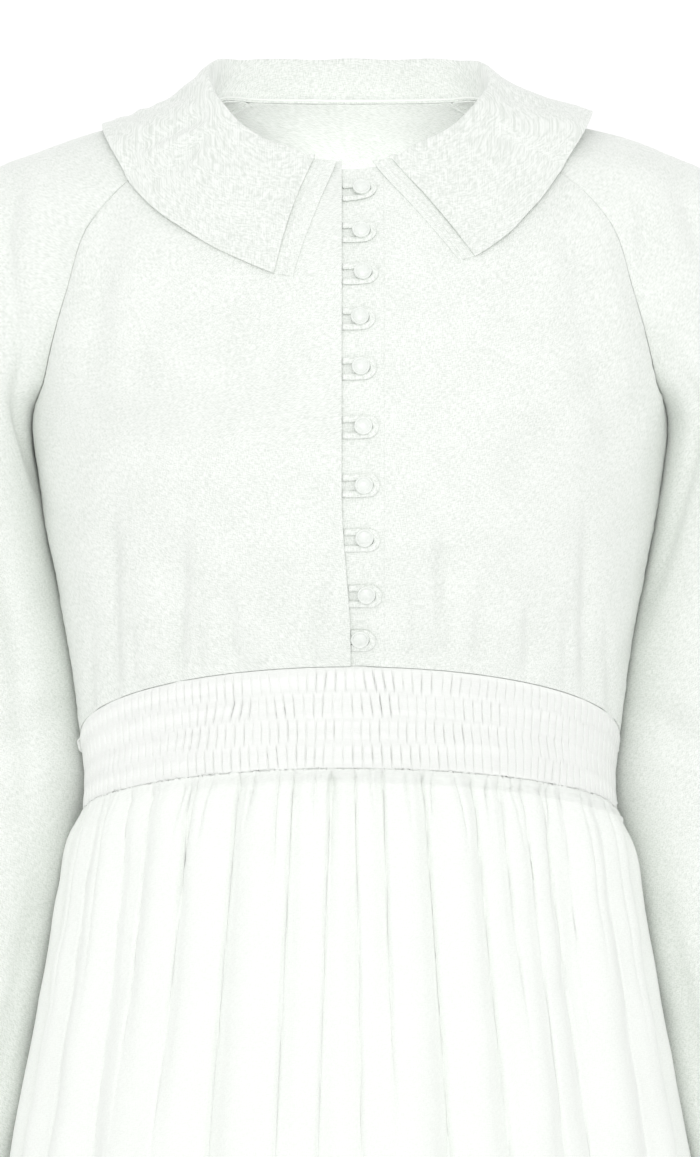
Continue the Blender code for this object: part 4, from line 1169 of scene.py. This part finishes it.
def band_panel(side):
    """Half of the waistband: four rows of flat puffs between five lines of elastic, parted by narrow creases. Each
    row's creases lean and stray by themselves, and every line of elastic draws the cloth in a little."""
    (high, wide), rows = BAND_GRID[side], ELASTIC_ROWS - 1
    angle = np.linspace(-90, 90, wide + 1)
    way = np.linspace(0, 1, high)
    points = body((angle if side < 0 else 180 - angle)[None, :], way[:, None], BAND)
    points = points + np.array([0, side * SEAM_GAP / 2, 0]) * (np.abs(angle) > 89.9)[None, :, None]
    run = lengths(points)[0][high // 2]
    row = np.clip((way * rows).astype(int), 0, rows - 1)
    within = way * rows - row
    puff = np.sin(math.pi * within) ** 0.7
    made = np.random.default_rng(61 if side < 0 else 62)
    crease = np.zeros((high, wide + 1))
    for i in range(rows):
        stray = np.interp(run, np.linspace(0, run[-1], 44), made.normal(0, 0.30, 44).cumsum() * 0.35)
        size = np.interp(run, np.linspace(0, run[-1], 60), made.uniform(0.25, 1.35, 60))
        lean = np.interp(run, np.linspace(0, run[-1], 16), made.normal(0, 0.9, 16))
        turn = 2 * math.pi * (run / BAND_PITCH[side] + stray + i * 0.37)
        for j in np.flatnonzero(row == i):
            phase = turn + lean * (within[j] - 0.5) * 2
            crease[j] = size * np.exp(-(np.abs(np.sin(phase / 2)) / CREASE_WIDE) ** 1.4)
    rise = BAND_PROUD + PUFF_HIGH * puff[:, None] - CREASE_DEEP * crease * (0.08 + 0.92 * puff[:, None])
    rise = rise * (step(0, 0.08, way) * step(-0.06, 0.06, 1 - way))[:, None]
    rise = rise - SEAM_ROLL * (1 - step(0, 0.04, way))[:, None]
    points = points + outward(points) * rise[..., None]
    points = points if side < 0 else points[:, ::-1]
    points = tucked(tucked(points, "t", *BAND_TOP_TUCK), "b", *BAND_FOOT_TUCK)
    return points if side < 0 else tucked(tucked(points, "l", *TUCK), "r", *TUCK)


def skirt_panel(side):
    """Half of the skirt: the envelope and troughs of its solid, with sharper creases along each trough and the many
    small gathers that leave the band between them."""
    gathers = FRONT_GATHERS if side < 0 else BACK_GATHERS
    more = SMALL_GATHERS if side < 0 else SMALL_BACK_GATHERS
    high, wide = SKIRT_GRID[side]
    way = rows_between(0, 1, high, 1.9)
    even = np.linspace(-1, 1, wide)[None, :]
    angle = 90 * (0.8 * even + 0.2 * even**3)
    points = skirt(angle, way, gathers, side)
    across, down = np.broadcast_arrays(angle, way)
    deep = np.zeros_like(down)
    for top, hem, top_depth, _, ends_at in zip(*gathers.values()):
        line = top + (hem - top) * down**0.8
        fades = 1 - step(0.5 * min(ends_at, 1.4), min(ends_at, 1.4), down)
        side_on = 1 if top < 0 else -1
        fades = fades * (1 - 0.6 * step(28, 55, abs(top)))
        off = (across - line) * side_on
        spread = np.where(off > 0, 1.0, 0.3) * (0.42 + 1.2 * down)
        deep += (FOLD_CREASE + FOLD_SHARE * top_depth) * fades * np.exp(-np.abs(off) / spread)
        deep += FOLD_HOLLOW * fades * bell(off - 0.9 - 1.6 * down, 1.0 + 1.8 * down)
    for top, low, low_way, depth, half_width in zip(*more.values()):
        line = top + (low - top) * np.clip(down / low_way, 0, 1.3) ** 0.9
        fades = 1 - step(0.35 * low_way, 1.15 * low_way, down)
        deep += GATHER_GAIN * depth * fades * np.exp(-np.abs(across - line) / (half_width * (1 + 2 * down)))
    v = lengths(points)[1]
    deep += pinches(across, v, 71 if side < 0 else 72, 70, (-88, 88), (0.3, 1.5), (0.40, 0.70), (8, 40)) * step(0, 3, v)
    deep *= 0.25 + 0.75 * step(0, 9, v)
    deep -= 0.6 * bell(v - 6.0, 6.0)
    deep *= 1 - step(88.0, 90, np.abs(across))
    deep -= 0.45 * (1 - step(0, 9, v))
    points = points - outward(points) * deep[..., None]
    points[..., 2] += BAND_REACH * (1 - step(0, 6, v))
    points = points + np.array([0, side * SEAM_GAP / 2, 0]) * (np.abs(across) > 89.9)[..., None]
    points = worked(points, 73 if side < 0 else 74, "", 0.5, 0.10)
    points = points if side < 0 else points[:, ::-1]
    points = tucked(points, "t", *SKIRT_TUCK)
    return points if side < 0 else tucked(tucked(points, "l", *TUCK), "r", *TUCK)


def loop_piece(name, x, z, slant, finish):
    """A rouleau loop: a flattened round section carried out from under the left front's edge, round the shank and
    back, lying on the stand. The section is a superellipse, and its first leg may start lower by a slant."""
    z = seen_level(x, z, LAYER_GAP + LOOP_THICK / 2)
    edge = float(left_edge_x(way_at(z))) + 0.4
    middle = LOOP_OUTER_RADIUS - LOOP_WIDTH / 2
    turns = np.radians(np.linspace(90, -90, 25))
    leg = np.linspace(edge, x + LOOP_AHEAD, 8)[:-1]
    run_x = np.concatenate([leg, x + LOOP_AHEAD + middle * np.cos(turns), leg[::-1]])
    run_up = np.concatenate([np.full(7, middle), middle * np.sin(turns), np.full(7, -middle)])
    tip = x + LOOP_AHEAD + middle
    bulge = 1 + 0.05 * np.sin((run_x - edge) / (tip - edge) * math.pi)
    run_up = run_up * bulge - slant * (tip - run_x) / (tip - edge)
    path = np.stack([run_x, run_up], axis=-1)
    sideways = unit(np.gradient(path, axis=0)) @ np.array([[0, 1], [-1, 0]])
    turn = np.linspace(0, 2 * math.pi, 16, endpoint=False)
    wide = np.sign(np.cos(turn)) * np.abs(np.cos(turn)) ** 0.8 * LOOP_WIDTH / 2
    thick = np.sign(np.sin(turn)) * np.abs(np.sin(turn)) ** 0.8 * LOOP_THICK / 2
    flat = path[:, None] + sideways[:, None] * wide[None, :, None]
    rise = LAYER_GAP + LOOP_THICK / 2 + np.broadcast_to(thick, flat.shape[:2])
    point, _, up, out = stand_frame(flat[..., 0], np.full(flat.shape[:2], z))
    points = point + up * flat[..., 1:2] + out * rise[..., None]
    count = len(turn)
    run = np.concatenate([[0], np.cumsum(np.linalg.norm(np.diff(path, axis=0), axis=-1))])
    uv = np.stack(np.broadcast_arrays(run[:, None], (np.arange(count) * 0.6)[None, :]), axis=-1)
    made = make_mesh(f"{name}_cloth", points, tube_faces(count, len(path)), finish, uv)
    return settle(made, "white_cotton", name)


def button_piece(name, x, z, finish):
    """A turned button: a raised rim round a low dome on a short shank, its profile carried round in 40 steps."""
    under = 1.3 * LAYER_GAP + LOOP_THICK
    z = seen_level(x, z, under + 1.6)
    keys = np.arange(len(BUTTON_PROFILE["out"]), dtype=float)
    run = np.linspace(0, keys[-1], 27)[1:]
    out = np.concatenate([smooth(run, keys, BUTTON_PROFILE["out"]), [SHANK_RADIUS]])
    up = np.concatenate([smooth(run, keys, BUTTON_PROFILE["up"]) + under, [LAYER_GAP]])
    turn = np.linspace(0, 2 * math.pi, 40, endpoint=False)
    flat = np.stack([out[:, None] * np.cos(turn), out[:, None] * np.sin(turn)], axis=-1)
    point, right, upward, outwards = stand_frame(x, z)
    rings = point + right * flat[..., :1] + upward * flat[..., 1:] + outwards * up[:, None, None]
    points = np.concatenate([rings.reshape(-1, 3), [point + outwards * (under + DOME_TOP)]])
    faces = grid_faces(len(turn), len(out) - 1, closed=True).tolist()
    top, count = len(points) - 1, len(turn)
    faces += [[top, i, (i + 1) % count] for i in range(count)]
    faces.append(list(range((len(out) - 1) * count, len(out) * count))[::-1])
    return settle(make_mesh(f"{name}_pearl", points, faces, finish), "pearl_button", name)


def seen_level(x, z, height):
    """The level on the stand from which a point this high over it shows at z."""
    out = stand_frame(x, z)[3]
    return z - float(out[2]) * height


def soft_light(name, place, aim, size, watts):
    """A square soft box that faces its aim."""
    lamp = bpy.data.lights.new(name, "AREA")
    lamp.energy, lamp.size = watts, size
    made = in_scene(name, lamp)
    made.location = place
    made.rotation_euler = (Vector(aim) - Vector(place)).to_track_quat("-Z", "Y").to_euler()


cloth_white = cotton("white_cotton_weave", (0.965, 0.992, 0.955), (0.76, 0.80, 0.75))
# The skirt's copy of the cotton: its lighter deep tone gives a fainter grain and is also painted light, so the skirt
# shows brighter than the bodice.
skirt_white_painted_light = cotton("white_cotton_skirt_painted_light", (0.965, 0.992, 0.955), (0.90, 0.93, 0.89), grain=0.8)
# The collar's copy of the cotton is painted darker all over, as painted shade, and has a coarser grain in its bump.
collar_white_painted_shade = cotton("white_cotton_collar_painted_shade", (0.930, 0.957, 0.920), (0.74, 0.78, 0.73), grain=1.2)
# The band's copy of the cotton is painted lighter all over, as painted light against the shade of its puckers, with
# softer wrinkles and grain in its bump.
band_white_painted_light = cotton("white_cotton_band_painted_light", (0.985, 0.998, 0.975), (0.93, 0.955, 0.92), 0.5, 0.6)
trim_white = cotton("white_cotton_trim", (0.965, 0.992, 0.955), (0.76, 0.80, 0.75), 0.4)
thread_white = cotton("white_thread", (0.95, 0.975, 0.94), (0.92, 0.945, 0.91), 0.0)
pearl_white = pearly("white_pearl")

pieces = {"front_left": panel("front_left", front_panel(True), FINE_WALL, cloth_white, rounded=0.3)}
for name, points in (
    ("front_right", front_panel(False)),
    ("back", back_panel()),
    ("sleeve_right", sleeve_panel(RIGHT)),
    ("sleeve_left", sleeve_panel(LEFT)),
):
    pieces[name] = panel(name, points, FINE_WALL, cloth_white)

stand_x = np.concatenate([np.linspace(STAND_INNER_X, 20.6, 22), [21.0, 21.25, 21.6, 22.2, STAND_OUTER_X]])[None, :]
stand_x, stand_ways = np.broadcast_arrays(stand_x, rows_between(0.03, 2, 120))
stand = stand_point(stand_x, stand_ways)
pieces["button_stand"] = panel("button_stand", stand, TRIM_WALL, cloth_white)

collar_face = collar_panel()
pieces["collar"] = panel("collar", collar_face, COLLAR_FINE_WALL, collar_white_painted_shade, rounded=0.45, weave=collar_weave)
for side_name, hand in (("left", LEFT), ("right", RIGHT)):
    strip = strip_panel(hand)
    name = f"collar_strip_{side_name}"
    pieces[name] = panel(name, strip, STRIP_WALL, cloth_white, outwards=True, rounded=0.25)

for side_name, side in (("front", -1), ("back", 1)):
    pieces[f"waistband_{side_name}"] = panel(f"waistband_{side_name}", band_panel(side), FINE_WALL, band_white_painted_light)
    pieces[f"skirt_{side_name}"] = panel(f"skirt_{side_name}", skirt_panel(side), FINE_WALL, skirt_white_painted_light)

for number, (x, z, loop_drop) in enumerate(zip(*BUTTONS.values()), 1):
    slant = 2.6 if number == 1 else 0.5
    loop_piece(f"loop_{number:02d}", x, z - loop_drop, slant, trim_white)
    button_piece(f"button_{number:02d}", x, z, pearl_white)

stitches("collar_stand_stitching", *collar_row(collar_face, 6.5, 46), thread_white)
seam_roll("neck_seam_roll", *collar_row(collar_face, 1.9, 57), thread_white)

for name, row in SHEETS.items():
    declare(pieces[name], *row)

pale = material("studio_pale", Base_Color=(0.86, 0.86, 0.86, 1), Roughness=0.9)[0]
corners = [(x, y, FLOOR_Z) for x, y in ((-1, -1), (1, -1), (1, 1), (-1, 1))] * np.array([FLOOR_HALF, FLOOR_HALF, 1])
make_mesh("studio_floor", corners, [(0, 1, 2, 3)], pale)

world = bpy.data.worlds.new("studio")
bpy.context.scene.world = world
world.use_nodes = True
tree = world.node_tree
around, seen = tree.nodes["Background"], tree.nodes.new("ShaderNodeBackground")
for sky, strength in ((around, WORLD_LIGHT), (seen, SEEN_SKY)):
    sky.inputs["Color"].default_value = (1, 1, 1, 1)
    sky.inputs["Strength"].default_value = strength
pick, path = tree.nodes.new("ShaderNodeMixShader"), tree.nodes.new("ShaderNodeLightPath")
for socket, source in zip(pick.inputs, (path.outputs["Is Camera Ray"], around.outputs[0], seen.outputs[0])):
    tree.links.new(source, socket)
tree.links.new(pick.outputs[0], tree.nodes["World Output"].inputs["Surface"])

for lamp in LAMPS:
    soft_light(*lamp)

bpy.context.scene.view_settings.view_transform = "Standard"
camera = bpy.data.cameras.new("camera")
camera.sensor_width, camera.sensor_fit = SENSOR, "AUTO"
camera.lens = SENSOR * CAMERA_BACK / (SEEN_WIDTH * PHOTO_HIGH / PHOTO_WIDE)
eye = in_scene("camera", camera)
eye.location = (0, -CAMERA_BACK, CAMERA_Z)
eye.rotation_euler = (math.pi / 2, 0, 0)
bpy.context.scene.camera = eye
